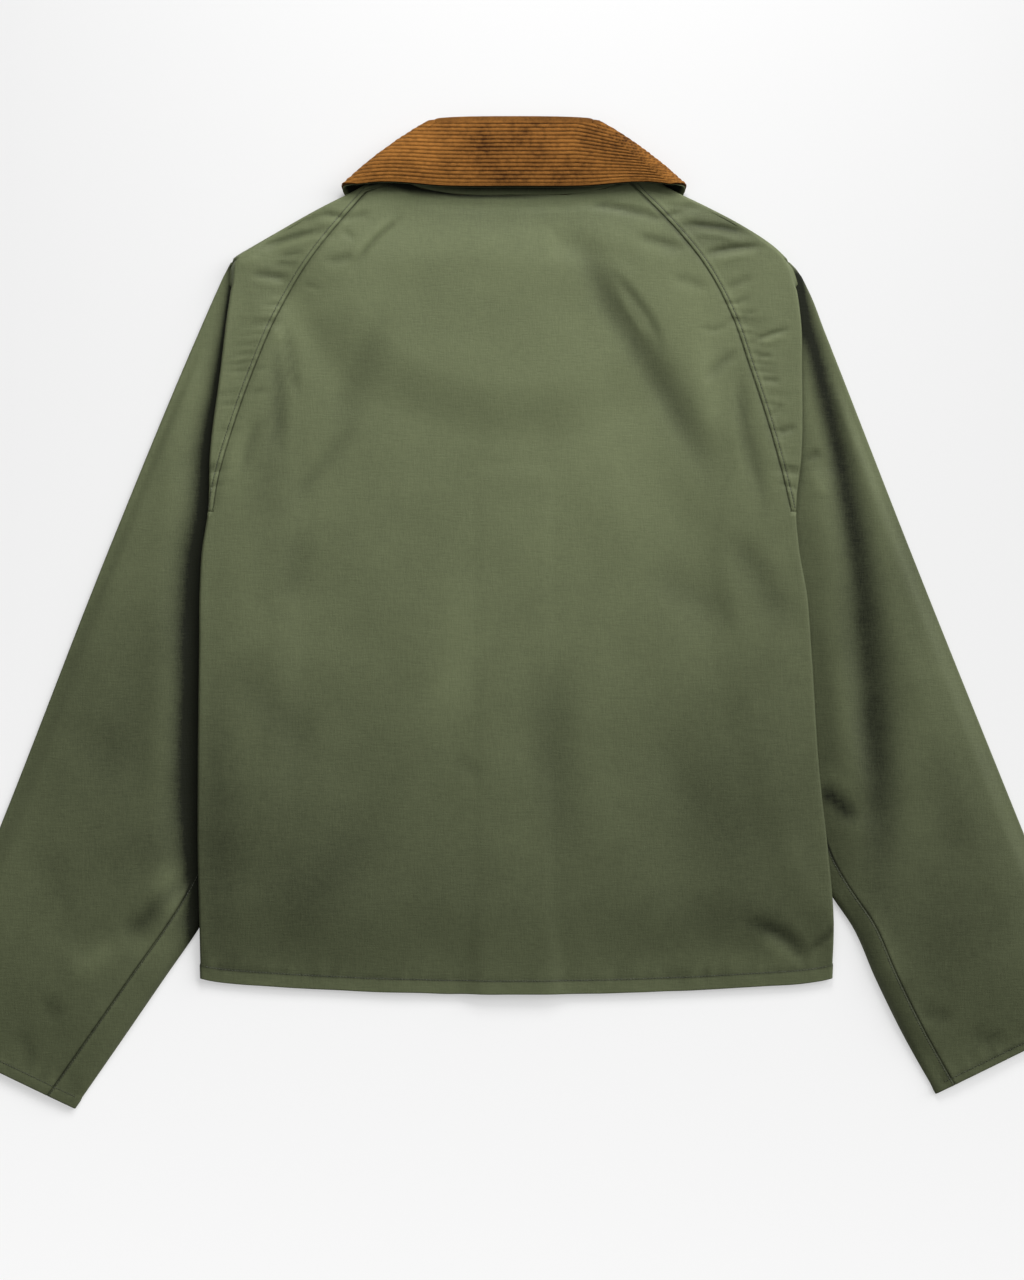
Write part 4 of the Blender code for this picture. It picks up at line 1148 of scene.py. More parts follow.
def seamShape(side, right, up):
    signed, walked, whole = measure(seamPath[side], right, up)
    onSleeve = signed * -sides[side]
    inside = rise(walked, 0, raglanSeam["ends"]) * rise(whole - walked, 0, raglanSeam["ends"])
    near = np.abs(onSleeve) < raglanSeam["puckerReach"]
    off, run = onSleeve[near], walked[near]
    puckers, reach = np.zeros(len(right)), np.ones(len(right))
    puckers[near] = waves(run + raglanSeam["puckerLean"] * off, off * 0.4, *raglanSeam["puckerWaves"])
    plain, more, least = raglanSeam["puckerStrength"]
    puckers[near] *= np.clip(plain + more * waves(run, off, *raglanSeam["strengthWaves"]), least, 1)
    shortest, longer = raglanSeam["puckerLength"]
    reach[near] = shortest + longer * (waves(run, run * 0, *raglanSeam["lengthWaves"]) + 0.35)
    beyond = np.maximum(onSleeve - raglanSeam["puckerFrom"], 0)
    shown, spreads = raglanSeam["puckerOnBody"]
    window = np.where(onSleeve > 0, np.exp(-((beyond / reach) ** 2)), shown * bump(onSleeve, 0, spreads))
    allowance = plateau(onSleeve, raglanSeam["allowanceFrom"], raglanSeam["allowanceTo"])
    shape = raglanSeam["allowance"] * allowance
    shape += raglanSeam["dimple"] * bump(onSleeve, raglanSeam["stitchLine"], raglanSeam["dimpleWide"])
    groove = bump(onSleeve, 0.0, raglanSeam["grooveWide"])
    shape += raglanSeam["groove"] * groove
    shape += np.minimum(raglanSeam["puckerTop"], raglanSeam["puckerDeep"] * puckers) * window
    stitchShade = bump(onSleeve, raglanSeam["stitchLine"], raglanSeam["stitchToneWide"])
    return shape * inside, (raglanSeam["grooveTone"] * groove + raglanSeam["stitchTone"] * stitchShade) * inside


def inMillimetres(points):
    return (points[:, 0] + cloth["originRight"]) * 1000, (points[:, 1] + cloth["originUp"]) * 1000


def lessNear(away, width):  # the cloth lies flatter close to a hem
    return plumpSlopes["flatShare"] + (1 - plumpSlopes["flatShare"]) * rise(away, *width)


def broadShift(right, up, rows):
    return sum(height * waves(right, up, seed, size) for height, seed, size in rows)


# the painted shadow under the collar's edge, a dark crescent, in mm
collarShadow = {
    "up": 641.5,
    "middle": -25,
    "half": 80,
    "sag": {"left": 8.3, "right": 5.6},
    "soft": 5,
    "tone": -8,
    "onNeck": (628, 8),  # above this the painted shadow lies on the whole of the body's upper cloth
    "upperCloth": (0.0068, 0.0012),
}
# The hems, in mm above the edge: pressed in along a line of stitches, with waves beside it and a line of
# painted shade.
# Waves have a seed and their sizes along the hem and across it.
bodyHem = {
    "line": (12, 1.0),
    "press": -0.35,
    "height": 0.8,
    "waves": (4.6, 7, 22),
    "wavesAt": (13, 8),
    "shadedLine": (11, 1.2),
    "tone": -3.0,
    "paler": 0.9,  # the turned-up band
    "bandEnd": (10, 2),
    "reach": 60,
}
cuffHem = {
    "line": (10, 0.9),
    "press": -0.35,
    "height": 1.0,
    "waves": (8.8, 7.5, 20),
    "wavesAt": (13, 9),
    "shadedLine": (9, 1.0),
    "tone": -2,
}


def hemShape(look, run, above):
    wavy = look["height"] * waves(run, above, *look["waves"]) * bump(above, *look["wavesAt"])
    return look["press"] * bump(above, *look["line"]) + wavy


def hemShade(look, above):
    return look["tone"] * bump(above, *look["shadedLine"])


def topShift(points, lift):
    right, up = inMillimetres(points)
    isLeft = right < 0
    inward = np.where(isLeft, offLine(outline["left"], right, up), offLine(outline["right"], right, up))
    stand = plump["edge"] + (plump["body"] - plump["edge"]) * rise(inward, *plumpSlopes["inward"])
    stand *= (1 - rise(up, *plumpSlopes["shoulder"])) * lessNear(up, plumpSlopes["hem"])
    fine = creaseShift(right, up, topCreases)
    broad = broadShift(right, up, broadWaves["body"])
    shade = np.zeros(len(right))
    for side in sides:
        mine = isLeft if side == "left" else ~isLeft
        shape, dark = seamShape(side, right[mine], up[mine])
        fine[mine] += shape
        shade[mine] += dark
    # painted shadow under the collar's edge
    fromMiddle = right - collarShadow["middle"]
    sag = np.where(fromMiddle < 0, collarShadow["sag"]["left"], collarShadow["sag"]["right"])
    collarEdge = collarShadow["up"] + sag * (fromMiddle / collarShadow["half"]) ** 2
    shade += collarShadow["tone"] * rise(up, collarEdge, collarShadow["soft"])
    # patches of painted light and shade
    shade += paintedLightAndShadeAt(right, up, paintedLightAndShade["top"])
    above = up - 1000 * body["hemDip"] * (1 - hemDrop(right / 1000))
    fine += hemShape(bodyHem, right, above) * (above < bodyHem["reach"])
    shade += bodyHem["paler"] * (1 - rise(above, *bodyHem["bandEnd"])) + hemShade(bodyHem, above)
    nearNeck = 1 - rise(up, *plumpSlopes["neck"])
    move = ease((fine + broad) * nearNeck, -(stand + plump["spare"]), plump["most"])
    share = np.clip(lift, 0, 1)
    upper = rise(up, *collarShadow["onNeck"]) * rise(points[:, 2], *collarShadow["upperCloth"])
    # painted shade and light: creases, waves, seam lines, the collar's shadow, hem lines and patches
    tone = (fine + broadWaves["tone"] * broad) * share + shade * np.maximum(share, upper)
    return (stand + move) / 1000 * share, tone


# the painted shadow where the sleeve goes under the body: depth of tone and, at heights above the hem, widths
tuckShadow = {
    "left": {
        "depth": 7.6,
        "wide": ((60, 9), (125, 11), (174, 15), (270, 17), (360, 14), (440, 10), (480, 7), (540, 3)),
    },
    "right": {"depth": 1.7, "wide": ((60, 8), (180, 14), (270, 12), (380, 7), (540, 3))},
}
# the underarm seam, in mm: its allowance is stitched down on the back's side
underarmSeam = {
    "groove": -0.7,
    "grooveWide": 0.7,
    "allowance": 0.35,
    "allowanceFrom": (0.4, 0.8),
    "allowanceTo": (4.2, 1.6),
    "height": 0.45,
    "waves": (9.2, 6, 25),
    "wavesWide": 7,
    # painted shade beside the seam's groove
    "tone": -3,
    "toneAt": (0.4, 1.1),
}


def underarmShape(onBack, walked):
    shape = underarmSeam["groove"] * bump(onBack, 0, underarmSeam["grooveWide"])
    allowance = plateau(onBack, underarmSeam["allowanceFrom"], underarmSeam["allowanceTo"])
    shape += underarmSeam["allowance"] * allowance
    wavy = waves(walked, onBack, *underarmSeam["waves"]) * bump(onBack, 0, underarmSeam["wavesWide"])
    return shape + underarmSeam["height"] * wavy


def sleeveShift(side):
    inner, outer = (Vector(cuff[side][end]) * 1000 for end in ("inner", "outer"))

    def shift(points, lift):
        top, topFold = topShift(points, lift)
        right, up = inMillimetres(points)
        alongCuff, above = alongAndOff(np.abs(right), up, inner, outer)
        above = np.abs(above)
        fromOuter = offLine(outerPath[side], right, up)
        beside = np.where((up > 14) & (up < 590), offLine(outline[side], right, up), 100)
        stand = plump["sleeve"] * rise(fromOuter, *plumpSlopes["outerFold"])
        stand = stand * lessNear(above, plumpSlopes["cuff"]) * rise(beside, *plumpSlopes["inward"])
        signed, walked, _ = measure(underarmPath[side], right, up)
        onBack = signed * -sides[side]
        fine = creaseShift(right, up, sleeveCreases[side]) + underarmShape(onBack, walked)
        fine += hemShape(cuffHem, alongCuff, above)
        stitchShade = underarmSeam["tone"] * bump(onBack, *underarmSeam["toneAt"]) + hemShade(cuffHem, above)
        broad = broadShift(right, up, broadWaves["sleeve"])
        move = ease(fine + broad, -(stand + plump["spare"]), plump["sleeveMost"])
        ups, wides = zip(*tuckShadow[side]["wide"])
        near = (beside / np.interp(up, ups, wides)) ** 2
        # the painted shadow: deep beside the edge, with a soft foot further out
        tuckShade = -tuckShadow[side]["depth"] * (0.78 * np.exp(-near) + 0.27 * np.exp(-near / 3.2))
        # painted shade and light: creases, waves, the tuck's shadow, seam and hem lines and patches
        tone = fine + broadWaves["tone"] * broad + tuckShade + stitchShade + paintedLightAndShadeAt(right, up, paintedLightAndShade[side])
        upper = np.where(lift > 0, 0, rise(points[:, 2], layer(0) + 0.0004, 0.0006))
        return top + (stand + move) / 1000 * np.clip(-lift, 0, 1), topFold + tone * upper

    return shift


def underarm(side):  # the sleeve's own seam, beside its inner fold
    path = []
    for share in spread(0.0, 1.0, 60):
        inner, outer = cuffEnds(side, share)
        at = inner + (outer - inner).normalized() * (sleeve["seamFromFold"][side] + cloth["pitch"] / 2)
        path.append((sides[side] * at.x * 1000, at.y * 1000))
    return path


underarmPath = {side: underarm(side) for side in sides}


def noShift(points, _):
    return np.zeros(len(points)), np.zeros(len(points))


def shadedShift(points, _):  # the under collar, darkened all over as painted shade under the leaf
    return np.zeros(len(points)), np.full(len(points), collar["underShade"])


def hemRaise(point):  # the turned-up band stands out, and comes down over a millimetre
    right, up = flat(point)
    above = up - hemUp(right, 0.0, body["hem"])
    return body["hemRaise"] * (1 - smooth((above - body["hemBand"]) / 0.0010)) if point.z > layer(1) else 0.0


def cuffRaise(side):
    def raised(point):
        right, up = flat(point)
        above = aboveCuff(side, sides[side] * right, up)
        shown = point.z > layer(0) + 0.0003
        return sleeve["hemRaise"] * (1 - smooth((above - sleeve["hemBand"]) / 0.0010)) if shown else 0.0

    return raised


backPiece = clothMesh("backPanel", backRows(), cloth["thickness"], topShift, raised=hemRaise)
print("back:", len(backPiece.data.polygons))
frontPieces, sleevePieces = {}, {}
for sideName in sides:
    isLeft = sideName == "left"
    front = clothMesh(f"{sideName}Front", frontRows(sideName), cloth["thickness"], noShift, flip=isLeft)
    frontPieces[sideName] = front
    sleevePieces[sideName] = clothMesh(
        f"{sideName}Sleeve", sleeveRows(sideName), cloth["thickness"], sleeveShift(sideName),
        raised=cuffRaise(sideName), flip=isLeft,
    )
    print(sideName, "front and sleeve:", len(front.data.polygons), len(sleevePieces[sideName].data.polygons))


# Collar pieces
def collarFrames(step):  # frames all round the neck, close together
    count = len(stationRows)
    keys = [("left", k) for k in range(count - 1, 0, -1)] + [("right", k) for k in range(count)]
    table = []
    for side, k in keys:
        *ends, turn = stationRows[k]
        table.append([value for out, up in ends for value in (sides[side] * out, up)] + [turn])
    table = np.array(table)
    made = []
    for k in range(len(table) - 1):
        before = table[max(k - 1, 0)]
        after = table[min(k + 2, len(table) - 1)]
        first, second = table[k], table[k + 1]
        length = max(np.hypot(*(second[i:i + 2] - first[i:i + 2])) for i in (0, 2, 4))
        length += abs(second[6] - first[6]) * collar["turnLength"]
        gaps = []
        for p, q in ((before, first), (first, second), (second, after)):
            gaps.append(max(1e-4, np.linalg.norm(q[:6] - p[:6]) + abs(q[6] - p[6]) * collar["turnWeight"]))
        inSlope = outSlope = second - first
        if k > 0:
            inSlope = (second - before) / (gaps[0] + gaps[1]) * gaps[1]
        if k < len(table) - 2:
            outSlope = (after - first) / (gaps[1] + gaps[2]) * gaps[1]
        steps = max(2, math.ceil(length / step))
        for n in range(steps):
            t = n / steps
            row = hermite(t, first, second, inSlope, outSlope)
            row[6] = first[6] + (second[6] - first[6]) * t
            made.append(row)
    made.append(table[-1])
    frames = []
    for row in made:
        side = sideOf(row[2])
        at = {"side": side, "turn": float(min(1, max(0, row[6])))}
        for k, key in enumerate(stationLines):
            at[key] = Vector((sides[side] * row[2 * k], row[2 * k + 1]))
        frames.append(collarFrame(at))
    return frames


def collarRows(frames, reach, leafSteps, rollSteps, standSteps, longer=0.0, turn=0.0):
    rows = []
    for k, (roll, seam, edge, facing) in enumerate(frames):
        leaf, stand = edge - roll, seam - roll
        rollLine = frames[min(k + 1, len(frames) - 1)][0] - frames[max(k - 1, 0)][0]
        away = rollLine.cross(facing).normalized()
        if away.dot(leaf + stand) > 0:
            away.negate()
        edge = edge + leaf.normalized() * longer + facing * collar["leafLift"] * max(0.0, facing.z) ** 2
        seam = seam + stand.normalized() * turn
        bulge = collar["bulge"] * smooth((facing.z + 0.6) / 0.6)
        row = []
        for n in range(leafSteps + 1):
            share = n / leafSteps
            row.append(edge.lerp(roll, share) + facing * (reach + bulge * 4 * share * (1 - share)))
        for n in range(1, rollSteps):
            angle = math.pi * n / rollSteps
            row.append(roll + facing * reach * math.cos(angle) + away * reach * math.sin(angle))
        row += [roll.lerp(seam, n / standSteps) - facing * reach for n in range(standSteps + 1)]
        rows.append([(*p, 0.0) for p in row])
    return rows


# how the corduroy's wales lie on the leaf, in metres
wales = {
    "bendFrom": 0.045,
    "bendWide": 0.085,
    "round": 2.4,
    "uneven": 0.55,
    "gathers": 260,  # uneven places in each metre of a wale
    "rollFrom": 0.94,  # share of the leaf after which they run out over the roll
    "rollHeight": 0.6,
    "hemHeight": 0.75,
    "backHeight": 0.5,
}
leafSteps = 120
frames = collarFrames(collar["frameStep"])
leafRows = collarRows(frames, collar["reach"], leafSteps, 6, 8, turn=collar["seamTurn"])
edgeLine = [flat(edge) for _, _, edge, facing in frames if facing.z > 0.05]
edgeRights, edgeUps = zip(*edgeLine)


def waleAt(point, share, edge, roll, facing):  # the wales follow the leaf's edge, counted up from it
    right, up = flat(point)
    shown = smooth((facing.z + 0.2) / 0.6)
    aboveEdge = shown * (up - float(np.interp(right, edgeRights, edgeUps)))
    aboveEdge += (1 - shown) * share * (edge - roll).length
    bend = collar["waleBend"][sideOf(right)]
    squeeze = 1 + bend * smooth((abs(right) - wales["bendFrom"]) / wales["bendWide"])
    count = (aboveEdge * squeeze - collar["hemBand"]) / collar["wale"]
    phase = count - math.floor(count)
    gathered = noise.noise(Vector((right * wales["gathers"], math.floor(count) * 3.3, 1.7)))
    height = wales["hemHeight"]
    if count > 0:
        height = (1 - abs(2 * phase - 1) ** wales["round"]) * (1 + wales["uneven"] * gathered)
    onRoll = smooth((share - wales["rollFrom"]) / (1 - wales["rollFrom"]))
    return height + (wales["rollHeight"] - height) * onRoll


waleOf = {}
for row, (roll, _, edge, facing) in zip(leafRows, frames):
    for k, point in enumerate(row):
        height = waleAt(point, k / leafSteps, edge, roll, facing) if k <= leafSteps else wales["backHeight"]
        waleOf[tuple(round(c, 6) for c in point[:3])] = height


def waleRaise(point):
    return collar["waleHeight"] * waleOf.get(tuple(round(c, 6) for c in point), wales["backHeight"])


collarLeaf = clothMesh("collarCorduroy", [leafRows], collar["corduroy"], noShift, raised=waleRaise, flip=True)
underRows = collarRows(frames, collar["rollRadius"], 16, 5, 8, longer=collar["underLonger"])
collarUnder = clothMesh("collarUnder", [underRows], collar["under"], shadedShift, flip=True)
print("collar:", len(collarLeaf.data.polygons), len(collarUnder.data.polygons))

# Stitches: each one a short thread lying in its dimple, its ends sunk in the cloth. All in mm, and drawn
# a little thicker than real ones.
thread = {
    "pitch": 2.5,
    "length": 2.2,
    "radius": 0.32,
    "rings": 6,
    "corners": 6,
    "slack": 0.12,  # how far each stitch may start too early or too late
    "drift": 0.10,  # and how far its ends may lie beside the line
}
seamStitches = {"raglan": 3.5, "underarm": 1.5, "cuff": 9.0, "hem": 11.0}  # mm from the seam or the edge


def offsetPath(path, distance):  # distance to its left, in mm
    points = [np.array(p, float) for p in path]
    made = []
    for k, point in enumerate(points):
        along = points[min(k + 1, len(points) - 1)] - points[max(k - 1, 0)]
        along /= np.linalg.norm(along)
        made.append(point + distance * np.array((-along[1], along[0])))
    return made


def alongLine(run, lengths, rights, ups):
    return Vector((np.interp(run, lengths, rights), np.interp(run, lengths, ups)))


def addStitch(bm, holeShadeLayer, rings):  # rings of points round one short thread, closed at both ends
    made = [[bm.verts.new(point) for point in ring] for ring in rings]
    for k, ring in enumerate(made):
        # the end rings are marked for painted shade where the thread goes into its needle hole
        for vert in ring:
            vert[holeShadeLayer] = 1.0 if k in (0, len(made) - 1) else 0.0
    for first, second in zip(made, made[1:]):
        for c in range(len(first)):
            d = (c + 1) % len(first)
            bm.faces.new((first[c], first[d], second[d], second[c]))
    bm.faces.new(made[0][::-1])
    bm.faces.new(made[-1])


def sewLine(name, piece, path, seed):
    tree = BVHTree.FromObject(piece, bpy.context.evaluated_depsgraph_get())
    chance = random.Random(seed)
    lengths = [0.0]
    for first, second in zip(path, path[1:]):
        lengths.append(lengths[-1] + float(np.linalg.norm(second - first)))
    line = (lengths, *zip(*path))
    bm = bmesh.new()
    holeShadeLayer = bm.verts.layers.float.new("holeShade")
    turns = [2 * math.pi * c / thread["corners"] for c in range(thread["corners"])]
    for number in range(int(lengths[-1] / thread["pitch"])):
        start = number * thread["pitch"] + chance.uniform(-thread["slack"], thread["slack"])
        drift = chance.uniform(-thread["drift"], thread["drift"])
        rings = []
        for k in range(thread["rings"]):
            share = k / (thread["rings"] - 1)
            run = start + share * thread["length"]
            here, ahead = alongLine(run, *line), alongLine(run + 0.4, *line)
            forward = (ahead - here).normalized() if (ahead - here).length > 1e-6 else forward
            across = Vector((-forward.y, forward.x))
            here += across * drift * (2 * share - 1)
            x, y = here.x / 1000 - cloth["originRight"], here.y / 1000 - cloth["originUp"]
            spot, normal, _, _ = tree.ray_cast(Vector((x, y, 0.1)), Vector((0, 0, -1)))
            if spot is None:
                break
            arch = math.sin(math.pi * share) ** 0.6
            middle = spot + normal * (arch - 0.5) * 0.5 * thread["radius"] / 1000
            wide = thread["radius"] * (0.75 + 0.25 * arch) / 1000
            level = across.to_3d() * wide
            rings.append([middle + level * math.cos(a) + normal * wide * 0.7 * math.sin(a) for a in turns])
        if len(rings) == thread["rings"]:
            addStitch(bm, holeShadeLayer, rings)
    bmesh.ops.recalc_face_normals(bm, faces=bm.faces)
    return addPiece(name, bm)


hemLine = []
for right in spread(-249.0, 253.0, 120):
    hemLine.append(np.array((right, 1000 * hemUp(right / 1000, 0.0, body["hem"]) + seamStitches["hem"])))
stitchLines = {"backPanel": [sewLine("hemStitches", backPiece, hemLine, 11)]}
for sideName, sign in sides.items():
    piece = sleevePieces[sideName]
    raglan = offsetPath(tablePath(backRaglan, sideName, 0.392, 0.656, 80), -sign * seamStitches["raglan"])
    under = offsetPath(underarmPath[sideName], -sign * seamStitches["underarm"])
    cuffEdge = [(sign * out * 1000, up * 1000) for out, up in cuff[sideName].values()]
    low, high = offsetPath(cuffEdge[::-1], sign * seamStitches["cuff"])
    cuffLine = [low + (high - low) * t for t in spread(0.02, 0.98, 40)]
    stitchLines[f"{sideName}Sleeve"] = [
        sewLine(f"{sideName}RaglanStitches", piece, raglan, 21),
        sewLine(f"{sideName}UnderarmStitches", piece, under, 31),
        sewLine(f"{sideName}CuffStitches", piece, cuffLine, 41),
    ]
stitchPieces = [line for lines in stitchLines.values() for line in lines]
for line in stitchPieces:
    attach(line, "root")
print("stitches:", sum(len(line.data.polygons) for line in stitchPieces))

# The frame's pieces
for piece, node, slotName in (
    (backPiece, "back", "waxed_cotton"),
    (frontPieces["left"], "front_left", "waxed_cotton"),
    (frontPieces["right"], "front_right", "waxed_cotton"),
    (sleevePieces["left"], "sleeve_left", "waxed_cotton"),
    (sleevePieces["right"], "sleeve_right", "waxed_cotton"),
    (collarLeaf, "collar_top", "corduroy"),
    (collarUnder, "collar_under", "waxed_cotton"),
):
    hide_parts(node)
    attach(piece, "root")


# Materials
def srgb(code):
    values = [int(code[k:k + 2], 16) / 255 for k in (1, 3, 5)]
    return (*[v / 12.92 if v <= 0.04045 else ((v + 0.055) / 1.055) ** 2.4 for v in values], 1.0)


def addNode(tree, kind, settings=(), links=()):
    node = tree.nodes.new(kind)
    for key, value in dict(settings).items():
        if isinstance(key, str) and hasattr(node, key):
            setattr(node, key, value)
        else:
            node.inputs[key].default_value = value
    for target, source in dict(links).items():
        tree.links.new(source, node.inputs[target])
    return node


def varied(tree, tone, noises, weights):  # the tone with each noise added round its middle, by its weight
    for name, weight in weights.items():
        around = addNode(tree, "ShaderNodeMath", {"operation": "SUBTRACT", 1: 0.5}, {0: noises[name]})
        tone = addNode(tree, "ShaderNodeMath", {"operation": "MULTIPLY_ADD", 1: weight},
                       {0: around.outputs[0], 2: tone}).outputs[0]
    return tone


def newMaterial(name):
    made = bpy.data.materials.new(name)
    made.use_nodes = True
    return made, made.node_tree, made.node_tree.nodes["Principled BSDF"]


# Waxed cotton: a close plain weave soaked in wax. The eye sees a dull, slightly mottled cloth, with painted
# shade in the creases and painted highlight on their tops.
waxed = {
    # the colour's ends: the dark one also gives the painted shade, the pale one also the painted highlight
    "soakedAndShaded": "#14170b",
    "rubbed": "#7e8662",
    "threads": 1.3,  # mm; the real ones are 0.4 mm apart, too fine to show
    "slubs": 8,  # mm along a thread, and the next three are in mm too
    "grain": 0.9,
    "clouds": 55,
    "patches": 17,
    "tone": 0.55,
    "palerUp": 0.26,  # in each metre towards the collar, where the light comes from
    "foldDepth": (-8.0, 4.0),  # mm
    "foldTone": (-0.74, 0.16),
    "weights": {"weft": 0.09, "warp": 0.09, "grain": 0.14, "clouds": 0.09, "patches": 0.06},
    "relief": {"Strength": 0.45, "Distance": 0.00030},
}
waxedCotton, tree, shader = newMaterial("waxedCotton")
spot = addNode(tree, "ShaderNodeTexCoord").outputs["Object"]
noises = {}
for name, sizes, detail in (
    ("weft", (waxed["slubs"], waxed["threads"], waxed["slubs"]), 1),
    ("warp", (waxed["threads"], waxed["slubs"], waxed["slubs"]), 1),
    ("grain", (waxed["grain"],) * 3, 2),
    ("clouds", (waxed["clouds"],) * 3, 3),
    ("patches", (waxed["patches"],) * 3, 3),
):
    scale = tuple(1000 / size for size in sizes)
    mapped = addNode(tree, "ShaderNodeMapping", {"Scale": scale}, {"Vector": spot}).outputs[0]
    noises[name] = addNode(tree, "ShaderNodeTexNoise", {"Scale": 1.0, "Detail": float(detail)},
                           {"Vector": mapped}).outputs[0]
# painted shade and highlight: the creases' depth in mm, as the mesh carries it, darkens or pales the cloth;
# the mesh adds its painted shadows and patches to the same attribute
fold = addNode(tree, "ShaderNodeAttribute", {"attribute_name": "fold"}).outputs["Fac"]
(sunk, raised), (darker, paler) = waxed["foldDepth"], waxed["foldTone"]
gathered = addNode(tree, "ShaderNodeMapRange", {"From Min": sunk, "From Max": raised, "To Min": darker,
                                                "To Max": paler}, {"Value": fold}).outputs[0]
height = addNode(tree, "ShaderNodeSeparateXYZ", {}, {0: spot}).outputs["Y"]
tone = addNode(tree, "ShaderNodeMath", {"operation": "MULTIPLY_ADD", 1: waxed["palerUp"], 2: waxed["tone"]},
               {0: height}).outputs[0]
tone = addNode(tree, "ShaderNodeMath", {"operation": "ADD"}, {0: tone, 1: gathered}).outputs[0]
tone = varied(tree, tone, noises, waxed["weights"])
ends = {6: srgb(waxed["soakedAndShaded"]), 7: srgb(waxed["rubbed"])}
colour = addNode(tree, "ShaderNodeMix", {"data_type": "RGBA", **ends}, {0: tone})
tree.links.new(colour.outputs[2], shader.inputs["Base Color"])
dull = addNode(tree, "ShaderNodeMapRange", {"From Min": 0.3, "From Max": 0.7, "To Min": 0.54, "To Max": 0.70},
               {"Value": noises["clouds"]})
tree.links.new(dull.outputs[0], shader.inputs["Roughness"])
woven = addNode(tree, "ShaderNodeMath", {"operation": "ADD"}, {0: noises["weft"], 1: noises["warp"]})
woven = addNode(tree, "ShaderNodeMath", {"operation": "MULTIPLY_ADD", 1: 0.6},
                {0: noises["grain"], 2: woven.outputs[0]})
relief = addNode(tree, "ShaderNodeBump", waxed["relief"], {"Height": woven.outputs[0]})
tree.links.new(relief.outputs[0], shader.inputs["Normal"])
shader.inputs["Specular IOR Level"].default_value = 0.15
shader.inputs["Sheen Weight"].default_value = 0.02
shader.inputs["Sheen Roughness"].default_value = 0.5

# Polyester sewing thread, twisted and waxed with the cloth: darker than it, with a slight shine
polyester = {"dark": "#1c1f14", "pale": "#3a3f2a", "holeShade": "#14160e", "twist": 1.4}  # turns to the mm
sewingThread, tree, shader = newMaterial("sewingThread")
spot = addNode(tree, "ShaderNodeTexCoord").outputs["Object"]
pattern = {"Scale": 1000 * polyester["twist"], "Detail": 1.0}
twist = addNode(tree, "ShaderNodeTexNoise", pattern, {"Vector": spot})
ends = {6: srgb(polyester["dark"]), 7: srgb(polyester["pale"])}
colour = addNode(tree, "ShaderNodeMix", {"data_type": "RGBA", **ends}, {0: twist.outputs[0]})
# painted shade in the needle holes, at the stitches' end rings
holeShade = addNode(tree, "ShaderNodeAttribute", {"attribute_name": "holeShade"})
colour = addNode(tree, "ShaderNodeMix", {"data_type": "RGBA", 7: srgb(polyester["holeShade"])},
                 {0: holeShade.outputs["Fac"], 6: colour.outputs[2]})
tree.links.new(colour.outputs[2], shader.inputs["Base Color"])
relief = addNode(tree, "ShaderNodeBump", {"Strength": 0.4, "Distance": 0.0001}, {"Height": twist.outputs[0]})
tree.links.new(relief.outputs[0], shader.inputs["Normal"])
shader.inputs["Roughness"].default_value = 0.42

# Cotton corduroy: cut pile in raised ribs. The ribs' tops are paled as painted highlight where they catch the
# light, the grooves between them are darkened as painted shade, and where the pile lies another way whole
# patches turn darker.
corduroy = {
    # the dark end is painted shade deep in the grooves, the pale end the ribs' tops with painted highlight
    "groove": "#1c0b02",
    "rib": "#90602b",
    "pile": 0.7,  # mm, and so are the next two
    "tufts": 2.2,
    "nap": 26,
    "ribHighlight": 0.60,
    "brushedSheen": (-0.125, -0.015),  # the pile lies towards the light from here on its left, to here; its paler look there is painted sheen
    "brushedSheenTone": 0.27,
    "weights": {"pile": 0.30, "tufts": 0.35, "nap": 0.75},
}
corduroyPile, tree, shader = newMaterial("corduroyPile")
spot = addNode(tree, "ShaderNodeTexCoord").outputs["Object"]
rib = addNode(tree, "ShaderNodeAttribute", {"attribute_name": "pile"}).outputs["Fac"]
noises = {}
for name, detail in (("pile", 2.0), ("tufts", 2.0), ("nap", 3.0)):
    pattern = {"Scale": 1000 / corduroy[name], "Detail": detail}
    noises[name] = addNode(tree, "ShaderNodeTexNoise", pattern, {"Vector": spot}).outputs[0]
ribs = {"From Max": 1000 * collar["waleHeight"], "To Max": corduroy["ribHighlight"]}
tone = addNode(tree, "ShaderNodeMapRange", ribs, {"Value": rib}).outputs[0]
across = addNode(tree, "ShaderNodeSeparateXYZ", {}, {0: spot}).outputs["X"]
palest, plainest = corduroy["brushedSheen"]
brushedSheen = addNode(tree, "ShaderNodeMapRange", {"From Min": palest, "From Max": plainest,
                                               "To Min": corduroy["brushedSheenTone"], "To Max": 0.0},
                  {"Value": across}).outputs[0]
tone = addNode(tree, "ShaderNodeMath", {"operation": "ADD"}, {0: tone, 1: brushedSheen}).outputs[0]
tone = varied(tree, tone, noises, corduroy["weights"])
ends = {6: srgb(corduroy["groove"]), 7: srgb(corduroy["rib"])}
colour = addNode(tree, "ShaderNodeMix", {"data_type": "RGBA", **ends}, {0: tone})
tree.links.new(colour.outputs[2], shader.inputs["Base Color"])
relief = addNode(tree, "ShaderNodeBump", {"Strength": 0.6, "Distance": 0.0004}, {"Height": noises["pile"]})
tree.links.new(relief.outputs[0], shader.inputs["Normal"])
shader.inputs["Roughness"].default_value = 0.88
shader.inputs["Specular IOR Level"].default_value = 0.08
shader.inputs["Sheen Weight"].default_value = 0.18
shader.inputs["Sheen Roughness"].default_value = 0.35
shader.inputs["Sheen Tint"].default_value = srgb("#c98c4c")

